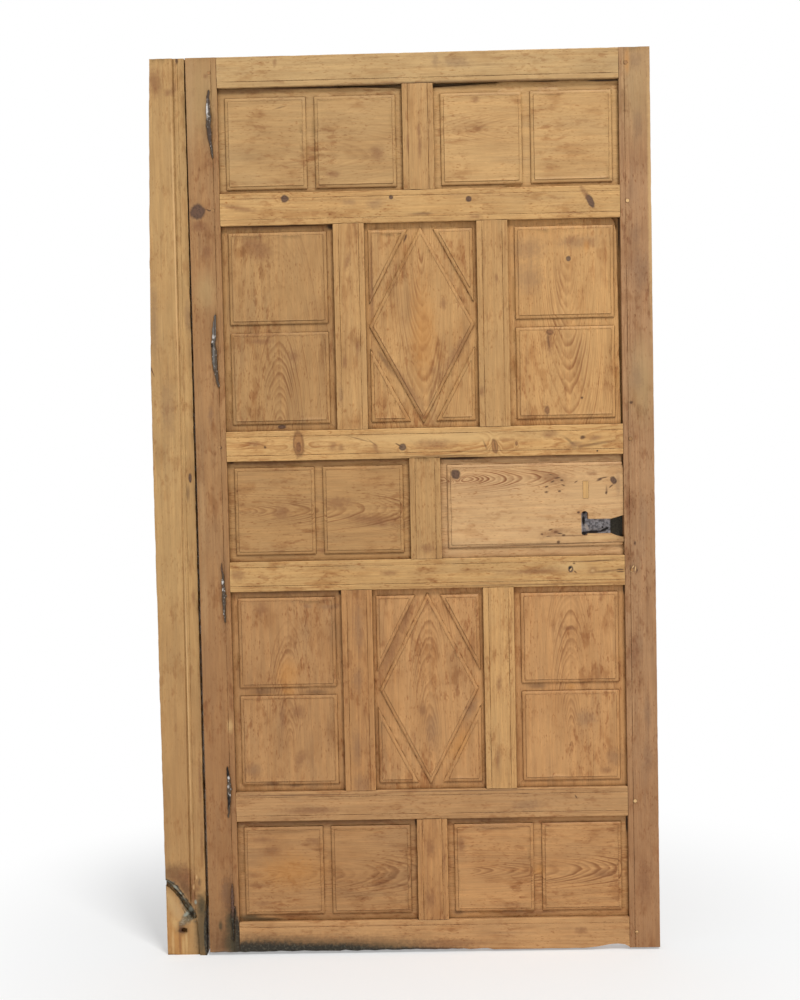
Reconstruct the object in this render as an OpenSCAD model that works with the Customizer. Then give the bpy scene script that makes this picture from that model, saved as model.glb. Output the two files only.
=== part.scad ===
// Old pine door leaf with moulded panels, hung on the hinge-side jamb of its frame.
// Millimetres. +X runs right across the front, the front faces -Y, +Z is up.
// The origin is the middle of the jamb's foot.

/* [Leaf] */
// Width of the leaf over both stiles
leaf_w = 1068; // [980:1:1160]
// Height of the leaf
leaf_h = 2100; // [2000:1:2200]
// Thickness of the stiles, rails and muntins
leaf_t = 40; // [38:0.5:50]
// Gap under the leaf
foot_gap = 5; // [3:1:12]
// Width of each stile
stile_w = 72; // [66:1:84]
// Width of each upright muntin
muntin_w = 72; // [66:1:80]

/* [Rails and rows] */
// Height of the top, third, fourth and fifth rails
rail_h = 70; // [66:1:80]
// Height of the second rail and of the bottom rail
deep_rail_h = 74; // [68:1:90]
// Clear height of the two low rows, at the top and at the bottom
low_row_h = 242; // [220:1:260]
// Clear height of the row that holds the lock
lock_row_h = 236; // [220:1:260]

/* [Joinery] */
// Thickness of the tenons
tenon_t = 12; // [8:0.5:14]
// Length of the stub tenons on the muntins
stub_tenon_l = 28; // [20:1:32]
// Depth of the panel grooves
groove_d = 15.3; // [15.3:0.1:18]
// Depth of the front lip of the frame over a panel
front_lip = 12; // [8:0.5:13]
// Diameter of the wooden pegs
peg_d = 8; // [5:0.5:10]
// Distance of a peg from the inner edge of its stile
peg_inset = 17; // [14:0.5:24]
// How far a peg stands out of the lock stile
peg_proud = 0.6; // [0:0.1:1]
// Clearance around tenons, pegs and set-in pieces
fit_clear = 0.2; // [0.1:0.05:0.4]
// Clearance of a panel in its groove
panel_clear = 0.3; // [0.2:0.05:0.6]
// Bevel that eases the long edges
ease = 1.2; // [0.6:0.1:2]
// Distance of the scratched line from an edge
bead_w = 13; // [10:0.5:16]
// Half width and depth of the scratched line
bead_cut = 1; // [0.5:0.1:1.5]

/* [Panels] */
// Thickness of a panel at its flat margin
panel_t = 16; // [12:0.5:18]
// Reach of a panel into the groove
tongue = 8; // [4:0.5:10]
// Drop of the two shrunken panels of the top row
panel_drop = 7; // [0:0.5:7]
// Flat margin between the frame and a raised field
margin = 16; // [12:0.5:20]
// Flat strip between two fields of one panel
field_gap = 20; // [14:0.5:28]
// Width of the moulding around a field
mould_w = 8; // [6:0.5:10]
// Height of the first step of the moulding
mould_step = 2.2; // [1:0.1:3]
// Height of the rounded part of the moulding
mould_rise = 3.2; // [2:0.1:4]
// Height of the last step, up to the flat of the field
field_step = 1.8; // [1:0.1:2.5]
// Side margin of the panels with a lozenge
lozenge_side = 9; // [6:0.5:14]
// Top and bottom margin of the panels with a lozenge
lozenge_end = 16; // [10:0.5:22]
// Half width of the upper lozenge
upper_lozenge_w = 122; // [108:0.5:124]
// Half width of the lower lozenge
lower_lozenge_w = 116; // [108:0.5:124]
// Distance of a lozenge's points from the rails
lozenge_tip = 11; // [8:0.5:20]
// Flat band between a lozenge and the corner triangles
lozenge_band = 24; // [18:0.5:30]
// Top margin of the undivided lock panel
lock_top_margin = 18; // [14:0.5:24]
// Bottom margin of the undivided lock panel
lock_foot_margin = 23; // [16:0.5:28]

/* [Worn edges of panels] */
// Depth of the broken front edge of a shrunken panel
wear_depth = 9; // [4:0.5:11]
// Width of the broken edge at its wide end
wear_w = 9; // [4:0.5:12]
// Length of the broken edge at the top of the top row
wear_l = 150; // [80:1:180]
// Width of the broken edge beside the lock stile
side_wear_w = 7; // [3:0.5:10]

/* [Lock] */
// Length of the lock cut-out, from the stile
cutout_l = 99; // [80:1:110]
// Height of the middle of the cut-out above the fourth rail
cutout_z = 68; // [60:1:90]
// Height of the slot of the cut-out
cutout_h = 35; // [26:1:40]
// Width of the round lobes at the far end
lobe_w = 16; // [12:0.5:20]
// Height of the upper lobe above the middle
lobe_rise = 28; // [22:0.5:34]
// Length of the flared end beside the stile
flare_l = 29; // [16:0.5:36]
// Height of the flared end beside the stile
flare_h = 51; // [42:0.5:56]
// Length of the iron plate behind the cut-out
plate_l = 106; // [95:1:130]
// Height of the iron plate
plate_h = 112; // [90:1:124]
// Thickness of the iron plate
plate_t = 3; // [2:0.5:4]
// Distance of the iron plate from the stile
plate_inset = 29; // [20:1:32]
// Length of the lock case
case_l = 78; // [60:1:86]
// Height of the lock case
case_h = 84; // [70:1:90]
// Depth of the lock case
case_t = 20; // [12:1:26]
// Diameter of the nails that hold the plate
nail_d = 3; // [2.5:0.5:4]
// Diameter of their heads
nail_head_d = 8; // [6:0.5:10]
// Length of a nail under its head
nail_l = 15; // [10:0.5:16]
// Width of the wooden slip that fills the old keyhole
slip_w = 12.6; // [8:0.2:16]
// Height of the wooden slip
slip_h = 40; // [28:1:48]
// Distance of the slip from the stile
slip_x = 88; // [80:1:96]
// Height of the middle of the slip above the middle of the cut-out
slip_z = 86; // [78:1:96]

/* [Hinges] */
// Height of each hinge in its row, as a share of the row's clear height
hinge_share = [0.161, 0.023, 0.987, 0.397, 0.711]; // [0:0.001:1]
// Distance of each clenched leg from the leaf's edge
clench_x = [57, 57, 57, 49, 51]; // [40:1:60]
// Length of each upper leg on the front face
leg_up = [57, 54, 78, 86, 68]; // [30:1:90]
// Length of each lower leg on the front face
leg_down = [83, 69, 64, 84, 89]; // [30:1:90]
// Sideways lean of each upper leg
lean_up = [1, -3, -4, 5, 1]; // [-8:1:9]
// Sideways lean of each lower leg
lean_down = [1, -4, 1, 9, 8]; // [-8:1:9]
// Width of each leg at its root
leg_w = [7, 8, 7, 11, 10]; // [5:1:12]
// Thickness of the legs hammered flat on the front face
leg_t = 2.4; // [1.5:0.1:3]
// Radius of the middle of an eye's ring
eye_r = 8; // [7:0.25:9]
// Diameter of the iron of an eye and of its shank
wire_d = 6; // [4.5:0.25:6.5]
// Gap where one eye hangs on the other
link_clear = 0.3; // [0.25:0.05:0.6]
// Distance of the hinge line behind the leaf
axis_back = 9; // [8:0.5:12]
// Clearance of the pockets around the eyes
eye_clear = 1.5; // [1:0.1:2.5]
// Length of the jamb cotters' legs on the wall side
jamb_leg_l = 70; // [50:1:90]
// Width of the jamb cotters' legs
jamb_leg_w = 9; // [6:0.5:12]

/* [Jamb] */
// Width of the jamb at the top
jamb_w = 100; // [90:1:120]
// Depth of the jamb
jamb_t = 70; // [60:1:90]
// Gap between jamb and leaf at the top
seam_top = 2.5; // [2:0.1:4]
// Gap between jamb and leaf at the foot
seam_foot = 7; // [5:0.1:9]
// Width of the moulded strip at the top
strip_top = 30; // [26:0.5:36]
// Width of the moulded strip at the foot
strip_foot = 41; // [36:0.5:46]
// Depth of the moulded strip under the face
strip_d = 3; // [2:0.1:5]
// Distance of the line scratched in the strip
strip_line = 14; // [10:0.5:20]
// Height of the torn wood at the jamb's outer edge
torn_h = 184; // [140:1:220]
// Depth of the wood torn off the foot
torn_d = 9; // [5:0.5:14]
// Depth of the crack above the torn wood
crack_d = 17; // [15:0.5:24]

/* [Worn foot] */
// Height worn off the bottom rail near the lock stile
foot_wear_h = 10; // [4:0.5:16]
// Length of the worn stretch
foot_wear_l = 110; // [60:1:160]

/* [Hidden] */

cut = 1;
fine = 48;
wood = [0.72, 0.55, 0.35];
pale_wood = [0.80, 0.64, 0.42];
dark_wood = [0.66, 0.47, 0.29];
iron = [0.34, 0.33, 0.33];

// Rows and rails are counted from the foot of the leaf
rail_hs = [deep_rail_h, rail_h, rail_h, rail_h, deep_rail_h, rail_h];
tall_row_h = (leaf_h - total(rail_hs) - 2 * low_row_h - lock_row_h) / 2;
row_hs = [low_row_h, tall_row_h, lock_row_h, tall_row_h, low_row_h];
row_muntins = [1, 2, 1, 2, 1];
inner_w = leaf_w - 2 * stile_w;

front_y = -jamb_t / 2;
back_y = front_y + leaf_t;
leaf_x = jamb_w / 2 + seam_top;
jamb_h = foot_gap + leaf_h;
axis_x = leaf_x - seam_top / 2;
axis_y = back_y + axis_back;
wire_r = wire_d / 2;
shank_r = 0.94 * wire_r;
eye_out_r = eye_r + wire_r;
pocket_r = eye_out_r + eye_clear;

groove_w = panel_t + 2 * panel_clear;
panel_top = -front_lip - panel_clear;
panel_back = panel_top - panel_t;
field_top = panel_top + mould_step + mould_rise + field_step;
tenon_mid = -front_lip - groove_w / 2;
tenon_edge = groove_d + 2;

cutout_x = leaf_w - stile_w;
cutout_y = row_base(2) + cutout_z;

function total(list, count = -1) =
    let (last = count < 0 ? len(list) : count) last == 0 ? 0 : list[last - 1] + total(list, last - 1);
function rail_base(i) = total(rail_hs, i) + total(row_hs, i);
function row_base(i) = rail_base(i) + rail_hs[i];
function open_w(row) = (inner_w - row_muntins[row] * muntin_w) / (row_muntins[row] + 1);
function open_x(row, k) = stile_w + k * (open_w(row) + muntin_w);
function muntin_x(row, k) = open_x(row, k) + open_w(row);

// The hinges keep their places between the rails
hinge_row = [0, 1, 1, 3, 4];
hinge_count = len(hinge_row);
function hinge_z(i) = foot_gap + row_base(hinge_row[i]) + hinge_share[i] * row_hs[hinge_row[i]];

// A leaf drawn flat: x across, y up the leaf, z out of its front face
module leaf_frame() {
    translate([leaf_x, front_y, foot_gap]) rotate([90, 0, 0]) children();
}

module along_x(length) {
    rotate([90, 0, 90]) linear_extrude(length) children();
}

module along_y(length) {
    translate([0, length, 0]) rotate([90, 0, 0]) linear_extrude(length) children();
}

// Section of a frame member: eased edges, scratched lines and panel grooves
function scratch(u) = [[u + bead_cut, 0], [u, -bead_cut], [u - bead_cut, 0]];
function groove_far(w) = [
    [w, -front_lip - groove_w], [w - groove_d, -front_lip - groove_w],
    [w - groove_d, -front_lip], [w, -front_lip]
];
function groove_near() = [
    [0, -front_lip], [groove_d, -front_lip],
    [groove_d, -front_lip - groove_w], [0, -front_lip - groove_w]
];
function member_section(w, near, far, grooves) = concat(
    [[0, ease - leaf_t], [ease, -leaf_t], [w - ease, -leaf_t], [w, ease - leaf_t]],
    far && grooves ? groove_far(w) : [],
    [[w, -ease], [w - ease, 0]],
    far ? scratch(w - bead_w) : [],
    near ? scratch(bead_w) : [],
    [[ease, 0], [0, -ease]],
    near && grooves ? groove_near() : []
);

// A tenon or its mortise, grown by a clearance on every side
module tenon(size_x, size_y, grow) {
    translate([-grow, -grow, tenon_mid - tenon_t / 2 - grow])
        cube([size_x + 2 * grow, size_y + 2 * grow, tenon_t + 2 * grow]);
}

function tenon_w(w) = w - 2 * tenon_edge;

module rail_tenons(i, grow) {
    h = rail_hs[i];
    for (x = [0, leaf_w - stile_w])
        translate([x, rail_base(i) + tenon_edge, 0]) tenon(stile_w, tenon_w(h), grow);
}

module muntin_tenons(row, k, grow) {
    y0 = row_base(row);
    for (y = [y0 - stub_tenon_l, y0 + row_hs[row]])
        translate([muntin_x(row, k) + tenon_edge, y, 0])
            tenon(tenon_w(muntin_w), stub_tenon_l, grow);
}

module peg_row(x, grow, from_z, to_z) {
    for (i = [0 : len(rail_hs) - 1])
        translate([x, rail_base(i) + rail_hs[i] / 2, from_z])
            cylinder(h = to_z - from_z, r = peg_d / 2 + grow, $fn = fine);
}

module peg_holes() {
    for (x = [stile_w - peg_inset, leaf_w - stile_w + peg_inset])
        peg_row(x, fit_clear / 2, -leaf_t - cut, cut);
}

module stile(x, inner_far) {
    difference() {
        translate([x, 0, 0])
            along_y(leaf_h) polygon(member_section(stile_w, !inner_far, inner_far, false));
        for (row = [0 : len(row_hs) - 1])
            translate([
                x + (inner_far ? stile_w - groove_d : -cut),
                row_base(row) - groove_d,
                -front_lip - groove_w
            ])
                cube([groove_d + cut, row_hs[row] + 2 * groove_d, groove_w]);
        for (i = [0 : len(rail_hs) - 1]) rail_tenons(i, fit_clear / 2);
        peg_holes();
    }
}

module hinge_stile() {
    color(dark_wood) difference() {
        leaf_frame() stile(0, true);
        for (i = [0 : hinge_count - 1]) {
            eye_pocket(i);
            leaf_eye_slot(i);
            leaf_shank(i, fit_clear / 2);
        }
    }
}

module lock_stile() {
    color(dark_wood) leaf_frame() stile(leaf_w - stile_w, false);
}

// A rail with its through tenons, the mortises for the muntins above and below it
module rail(i) {
    h = rail_hs[i];
    lower = i > 0;
    upper = i < len(rail_hs) - 1;
    difference() {
        union() {
            translate([stile_w, rail_base(i), 0])
                along_x(inner_w) polygon(member_section(h, lower, upper, true));
            rail_tenons(i, 0);
        }
        if (lower)
            for (k = [0 : row_muntins[i - 1] - 1]) muntin_tenons(i - 1, k, fit_clear / 2);
        if (upper)
            for (k = [0 : row_muntins[i] - 1]) muntin_tenons(i, k, fit_clear / 2);
        peg_holes();
    }
}

module whole_rail(i, tint) {
    color(tint) leaf_frame() rail(i);
}

// The bottom rail is worn away in a shallow scallop near the lock stile
module bottom_rail() {
    worn_end = leaf_w - stile_w;
    color(wood) leaf_frame() difference() {
        rail(0);
        translate([0, 0, -leaf_t - cut]) linear_extrude(leaf_t + 2 * cut) polygon([
            [worn_end - foot_wear_l, -cut],
            [worn_end - foot_wear_l, 0],
            [worn_end - 0.7 * foot_wear_l, 0.35 * foot_wear_h],
            [worn_end - 0.45 * foot_wear_l, 0.8 * foot_wear_h],
            [worn_end - 0.25 * foot_wear_l, foot_wear_h],
            [worn_end - 0.1 * foot_wear_l, 0.8 * foot_wear_h],
            [worn_end, 0.2 * foot_wear_h],
            [worn_end, -cut]
        ]);
    }
}

module muntin(row, k) {
    color(wood) leaf_frame() union() {
        translate([muntin_x(row, k), row_base(row), 0])
            along_y(row_hs[row]) polygon(member_section(muntin_w, true, true, true));
        muntin_tenons(row, k, 0);
    }
}

// Edge of a raised field: a step, a quarter round, then a last step to the flat.
// Each point is its distance in from the field's outline and its height.
field_h = mould_step + mould_rise + field_step;
round_w = 0.9 * mould_w;
edge_points = concat(
    [[0, -cut]],
    [for (a = [0 : 22.5 : 90]) [round_w * (1 - cos(a)), mould_step + mould_rise * sin(a)]],
    [[mould_w, mould_step + mould_rise], [mould_w, field_h]]
);
function band_section(w) = concat(
    edge_points,
    [for (i = [len(edge_points) - 1 : -1 : 0]) [w - edge_points[i][0], edge_points[i][1]]]
);

// A rectangular field: two moulded bands that cross
module field_rect(x0, y0, x1, y1) {
    intersection() {
        translate([x0 - mould_w, y0, 0])
            along_x(x1 - x0 + 2 * mould_w) polygon(band_section(y1 - y0));
        translate([x0, y0 - mould_w, 0])
            along_y(y1 - y0 + 2 * mould_w) polygon(band_section(x1 - x0));
    }
}

// Corner i of a convex outline, moved in by d along the mitre of its two sides
function mitre_point(outline, i, d) =
    let (
        n = len(outline),
        into = outline[i] - outline[(i + n - 1) % n],
        out = outline[(i + 1) % n] - outline[i],
        u = [-into[1], into[0]] / norm(into),
        v = [-out[1], out[0]] / norm(out)
    )
    outline[i] + d * (u + v) / (1 + u * v);

// A field on any convex outline, counted against the clock: its rings follow the edge points
module field_on(outline) {
    n = len(outline);
    last = len(edge_points) - 1;
    polyhedron(
        points = [for (e = edge_points, i = [0 : n - 1])
            let (m = mitre_point(outline, i, e[0])) [m[0], m[1], e[1]]],
        faces = concat(
            [[for (i = [0 : n - 1]) i], [for (i = [n - 1 : -1 : 0]) last * n + i]],
            [for (j = [0 : last - 1], i = [0 : n - 1])
                [j * n + i, (j + 1) * n + i, (j + 1) * n + (i + 1) % n]],
            [for (j = [0 : last - 1], i = [0 : n - 1])
                [j * n + i, (j + 1) * n + (i + 1) % n, j * n + (i + 1) % n]]
        )
    );
}

// The board of a panel with its tongues, drawn from the lower left of its opening
module board(w, h) {
    translate([-tongue, -tongue, panel_back])
        cube([w + 2 * tongue, h + 2 * tongue, panel_t]);
}

// Places a panel in opening k of a row, let down by drop in its grooves
module in_opening(row, k, drop = 0) {
    leaf_frame() translate([open_x(row, k), row_base(row) - drop, 0]) children();
}

// Two fields side by side
module panel_side_by_side(w, h) {
    field_w = (w - 2 * margin - field_gap) / 2;
    board(w, h);
    for (x = [margin, margin + field_w + field_gap])
        translate([0, 0, panel_top]) field_rect(x, margin, x + field_w, h - margin);
}

// Two fields one above the other
module panel_stacked(w, h) {
    field_h2 = (h - 2 * margin - field_gap) / 2;
    board(w, h);
    for (y = [margin, margin + field_h2 + field_gap])
        translate([0, 0, panel_top]) field_rect(margin, y, w - margin, y + field_h2);
}

// A lozenge between four corner triangles
module panel_lozenge(w, h, half_w) {
    half_h = h / 2 - lozenge_tip;
    side = norm([half_w, half_h]);
    corner = [w / 2 - lozenge_side, h / 2 - lozenge_end];
    // Height of a corner over its long side, which runs beside the lozenge
    rise = (corner[0] / half_w + corner[1] / half_h - 1) * half_w * half_h / side - lozenge_band;
    leg_x = rise * side / half_h;
    leg_y = rise * side / half_w;
    board(w, h);
    translate([w / 2, h / 2, panel_top]) {
        field_on([[0, -half_h], [half_w, 0], [0, half_h], [-half_w, 0]]);
        for (flip_x = [0, 1], flip_y = [0, 1])
            mirror([flip_x, 0, 0]) mirror([0, flip_y, 0])
                field_on([corner, corner - [leg_x, 0], corner - [0, leg_y]]);
    }
}

// The broken front edge of a shrunken panel, which leaves a dark gap under the top rail
module top_wear(w, h, at_left) {
    wide_x = at_left ? -tongue : w + tongue;
    thin_x = at_left ? wear_l : w - wear_l;
    low_y = h + panel_drop - wear_w;
    translate([0, 0, panel_top - wear_depth]) linear_extrude(wear_depth + cut) polygon([
        [wide_x + (at_left ? -cut : cut), low_y],
        [thin_x, h + panel_drop - 1.5],
        [thin_x, h + tongue + cut],
        [wide_x + (at_left ? -cut : cut), h + tongue + cut]
    ]);
}

module row1_left_panel() {
    w = open_w(4);
    color(pale_wood) in_opening(4, 0, panel_drop) difference() {
        panel_side_by_side(w, row_hs[4]);
        top_wear(w, row_hs[4], false);
    }
}

module row1_right_panel() {
    w = open_w(4);
    color(pale_wood) in_opening(4, 1, panel_drop) difference() {
        panel_side_by_side(w, row_hs[4]);
        top_wear(w, row_hs[4], true);
    }
}

module row2_left_panel() {
    color(wood) in_opening(3, 0) panel_stacked(open_w(3), row_hs[3]);
}

module row2_centre_panel() {
    color(wood) in_opening(3, 1) panel_lozenge(open_w(3), row_hs[3], upper_lozenge_w);
}

// This panel has shrunk away from the lock stile and its upper corner is chipped
module row2_right_panel() {
    w = open_w(3);
    h = row_hs[3];
    color(wood) in_opening(3, 2) difference() {
        panel_stacked(w, h);
        translate([0, 0, panel_top - wear_depth]) linear_extrude(wear_depth + cut) polygon([
            [w - 0.4 * side_wear_w, -tongue - cut],
            [w - side_wear_w, 0.7 * h],
            [w - 1.2 * side_wear_w, h - 2 * margin],
            [w - 2 * side_wear_w, h - 0.4 * margin],
            [w - 3 * side_wear_w, h + cut],
            [w + tongue + cut, h + cut],
            [w + tongue + cut, -tongue - cut]
        ]);
    }
}

module row3_left_panel() {
    color(wood) in_opening(2, 0) panel_side_by_side(open_w(2), row_hs[2]);
}

module row4_left_panel() {
    color(dark_wood) in_opening(1, 0) panel_stacked(open_w(1), row_hs[1]);
}

module row4_centre_panel() {
    color(dark_wood) in_opening(1, 1) panel_lozenge(open_w(1), row_hs[1], lower_lozenge_w);
}

module row4_right_panel() {
    color(dark_wood) in_opening(1, 2) panel_stacked(open_w(1), row_hs[1]);
}

module row5_left_panel() {
    color(dark_wood) in_opening(0, 0) panel_side_by_side(open_w(0), row_hs[0]);
}

module row5_right_panel() {
    color(dark_wood) in_opening(0, 1) panel_side_by_side(open_w(0), row_hs[0]);
}

// Outline of the lock cut-out, with the stile's edge at x = 0 and its middle at y = 0
module cutout_outline() {
    lobe_x = -cutout_l + lobe_w / 2;
    union() {
        translate([lobe_x - lobe_w / 2, -cutout_h / 2])
            square([cutout_l + tongue + cut, cutout_h]);
        translate([lobe_x - lobe_w / 2, 0]) square([lobe_w, lobe_rise]);
        translate([lobe_x, lobe_rise]) circle(d = lobe_w, $fn = fine);
        translate([lobe_x, lobe_w / 2 - cutout_h / 2 - 4]) circle(d = lobe_w, $fn = fine);
        polygon([
            [-flare_l, cutout_h / 2],
            [-0.5 * flare_l, 0.42 * flare_h],
            [0, flare_h / 2],
            [tongue + cut, flare_h / 2],
            [tongue + cut, -flare_h / 2],
            [-0.2 * flare_l, -flare_h / 2],
            [-0.6 * flare_l, -0.44 * flare_h],
            [-flare_l, -cutout_h / 2]
        ]);
    }
}

module slip_outline(grow) {
    translate([-slip_w / 2 - grow, -slip_h / 2 - grow])
        square([slip_w + 2 * grow, slip_h + 2 * grow]);
}

module lock_frame() {
    leaf_frame() translate([cutout_x, cutout_y, 0]) children();
}

// One undivided field that runs on under the lock stile
module lock_panel() {
    w = open_w(2);
    color(pale_wood) difference() {
        in_opening(2, 1) {
            board(w, row_hs[2]);
            intersection() {
                translate([0, 0, panel_top])
                    field_rect(margin, lock_foot_margin, w + margin, row_hs[2] - lock_top_margin);
                translate([0, 0, panel_back]) cube([w - fit_clear, row_hs[2], leaf_t]);
            }
        }
        lock_frame() {
            translate([0, 0, -leaf_t]) linear_extrude(leaf_t) cutout_outline();
            translate([-slip_x, slip_z, -leaf_t])
                linear_extrude(leaf_t) slip_outline(fit_clear / 2);
            nail_places()
                translate([0, 0, -leaf_t])
                    cylinder(h = leaf_t + panel_back + nail_l - plate_t + fit_clear,
                        r = nail_d / 2 + fit_clear / 2, $fn = fine);
        }
    }
}

// The pale slip stands a little out of the field
module slip_patch() {
    color(pale_wood) lock_frame() translate([-slip_x, slip_z, panel_back])
        linear_extrude(field_top - panel_back + 0.5) slip_outline(0);
}

module nail_places() {
    edge = 9;
    for (x = [-plate_inset - plate_l + edge, -case_l - nail_head_d],
         y = [edge - plate_h / 2, plate_h / 2 - edge])
        translate([x, y, 0]) children();
}

// The iron plate on the back of the panel, which shows through the cut-out
module lock_plate() {
    color(iron) lock_frame() difference() {
        translate([-plate_inset - plate_l, -plate_h / 2, panel_back - plate_t])
            cube([plate_l, plate_h, plate_t]);
        nail_places() translate([0, 0, panel_back - plate_t - cut])
            cylinder(h = plate_t + 2 * cut, r = nail_d / 2 + fit_clear / 2, $fn = fine);
    }
}

// The case behind the plate, with bevelled back edges
module lock_case() {
    bevel = 3;
    color(iron) lock_frame()
        translate([-case_l - fit_clear, 0, panel_back - plate_t - case_t])
            along_x(case_l) polygon([
                [-case_h / 2, case_t], [-case_h / 2, bevel], [bevel - case_h / 2, 0],
                [case_h / 2 - bevel, 0], [case_h / 2, bevel], [case_h / 2, case_t]
            ]);
}

module lock_nails() {
    head_t = 1.8;
    color(iron) lock_frame() nail_places()
        translate([0, 0, panel_back - plate_t]) {
            translate([0, 0, -head_t]) cylinder(h = head_t, d = nail_head_d, $fn = fine);
            translate([0, 0, -head_t / 2]) cylinder(h = head_t / 2 + nail_l, d = nail_d, $fn = fine);
        }
}

// The pegs of the hinge stile end just under its face, where the cotters' legs cross them
module tenon_pegs() {
    color(pale_wood) leaf_frame() {
        peg_row(stile_w - peg_inset, 0, -leaf_t, -fit_clear);
        peg_row(leaf_w - stile_w + peg_inset, 0, -leaf_t, peg_proud);
    }
}

// Hinges: two linked cotters, one eye lying level on the hinge line, one upright in it
function shank_angle(i) = atan2(-(leaf_t + axis_back), leaf_x + clench_x[i] - axis_x);

module at_hinge(i) {
    translate([axis_x, axis_y, hinge_z(i)]) children();
}

module eye_ring() {
    rotate_extrude($fn = fine) translate([eye_r, 0]) circle(r = wire_r, $fn = fine);
}

// Room for the eyes, round the hinge line, in the jamb and in the stile
module eye_pocket(i) {
    at_hinge(i) translate([0, 0, -pocket_r])
        cylinder(h = 2 * pocket_r, r = pocket_r, $fn = fine);
}

// The upright eye hangs over the level one, so its middle lies a little lower
link_drop = wire_d - eye_r + link_clear;

module in_leaf_eye(i) {
    at_hinge(i) rotate([0, 0, shank_angle(i)])
        translate([eye_r, 0, link_drop]) children();
}

module leaf_eye_slot(i) {
    in_leaf_eye(i) rotate([90, 0, 0]) translate([0, 0, -wire_r - eye_clear])
        cylinder(h = wire_d + 2 * eye_clear, r = pocket_r, $fn = fine);
}

module leaf_shank(i, grow) {
    difference() {
        in_leaf_eye(i) translate([eye_r, 0, 0]) rotate([0, 90, 0])
            cylinder(h = 2 * (leaf_t + clench_x[i]), r = shank_r + grow, $fn = fine);
        translate([0, front_y - leg_t / 2 - leaf_w, 0]) cube([leaf_w, leaf_w, jamb_h]);
    }
}

// A leg hammered flat: a bar that tapers to a rounded point
module leg_outline(root_w, length, lean) {
    tip_w = 0.35 * root_w;
    mid_w = 0.8 * root_w;
    polygon([
        [-root_w / 2, 0],
        [-mid_w / 2 + 0.2 * lean, 0.45 * length],
        [-tip_w / 2 + lean, 0.96 * length],
        [lean, length],
        [tip_w / 2 + lean, 0.95 * length],
        [mid_w / 2 + 0.3 * lean, 0.5 * length],
        [root_w / 2, 0]
    ]);
}

module clenched_legs(i) {
    translate([leaf_x + clench_x[i], front_y, hinge_z(i) + link_drop])
        rotate([90, 0, 0]) linear_extrude(leg_t) union() {
            circle(r = leg_w[i] / 2 + 1, $fn = fine);
            leg_outline(leg_w[i], leg_up[i], lean_up[i]);
            mirror([0, 1]) leg_outline(leg_w[i], leg_down[i], lean_down[i]);
        }
}

module leaf_cotter(i) {
    color(iron) union() {
        in_leaf_eye(i) rotate([90, 0, 0]) eye_ring();
        leaf_shank(i, 0);
        clenched_legs(i);
    }
}

module jamb_shank(i, grow) {
    wall_x = -jamb_w / 2;
    translate([wall_x + leg_t / 2 - grow, axis_y, hinge_z(i)]) rotate([0, 90, 0])
        cylinder(h = axis_x - eye_r - wall_x - leg_t / 2 + grow, r = shank_r + grow, $fn = fine);
}

module jamb_legs(i, grow) {
    depth = leg_t + grow + (grow > 0 ? cut : 0);
    translate([-jamb_w / 2 - (grow > 0 ? cut : 0), axis_y, hinge_z(i)])
        translate([0, -jamb_leg_w / 2 - grow, -jamb_leg_l - grow])
            cube([depth, jamb_leg_w + 2 * grow, 2 * jamb_leg_l + 2 * grow]);
}

module jamb_cotter(i) {
    color(iron) union() {
        at_hinge(i) eye_ring();
        jamb_shank(i, 0);
        jamb_legs(i, 0);
    }
}

// The moulded strip: a rounded edge, a sunk face and one scratched line, all leaning
strip_foot_x = leaf_x - seam_foot - strip_foot;
strip_top_x = jamb_w / 2 - strip_top;
module strip_cut() {
    lean = atan((strip_top_x - strip_foot_x) / jamb_h);
    run = strip_foot + jamb_w;
    translate([strip_foot_x, front_y, 0]) rotate([0, lean, 0])
        translate([0, 0, -jamb_t]) linear_extrude(jamb_h + 2 * jamb_t) polygon(concat(
            [[0, -cut]],
            [for (a = [0 : 22.5 : 90]) [strip_d * sin(a), strip_d * (1 - cos(a)) + 0.01 * a / 90]],
            [
                [strip_d, strip_d + 1.5],
                [strip_d + 1.5, strip_d + 1.5],
                [strip_d + 2.5, strip_d],
                [strip_line - 1, strip_d],
                [strip_line, strip_d + 1.2],
                [strip_line + 1, strip_d],
                [run, strip_d],
                [run, -cut]
            ]
        ));
}

// The side towards the leaf, cut on a slant so that the seam opens towards the foot
module seam_cut() {
    translate([0, front_y - cut, 0]) rotate([-90, 0, 0]) mirror([0, 1, 0])
        linear_extrude(jamb_t + 2 * cut) polygon([
            [leaf_x - seam_foot, 0], [leaf_x - seam_foot, -cut], [jamb_w, -cut],
            [jamb_w, jamb_h + cut], [jamb_w / 2, jamb_h + cut], [jamb_w / 2, jamb_h]
        ]);
}

// Ragged outlines on the jamb's foot, as shares of the jamb's width and of the torn height
torn_outline = [
    [-0.01, -0.01], [-0.01, 0.98], [0.06, 0.97], [0.16, 0.9], [0.33, 0.8], [0.5, 0.67],
    [0.66, 0.57], [0.74, 0.43], [0.77, 0.21], [0.78, -0.01]
];
crack_outline = [
    [-0.01, 1], [0.08, 0.99], [0.18, 0.92], [0.36, 0.82], [0.54, 0.69], [0.7, 0.58], [0.73, 0.5],
    [0.62, 0.47], [0.56, 0.53], [0.45, 0.63], [0.3, 0.76], [0.12, 0.87], [-0.01, 0.92]
];
knot_hole = [0.41, 0.32];
knot_hole_d = 13;
function on_foot(p) = [p[0] * jamb_w - jamb_w / 2, p[1] * torn_h];

module cut_in_foot(depth) {
    translate([0, front_y + depth, 0]) rotate([90, 0, 0]) linear_extrude(depth + cut) children();
}

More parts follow.
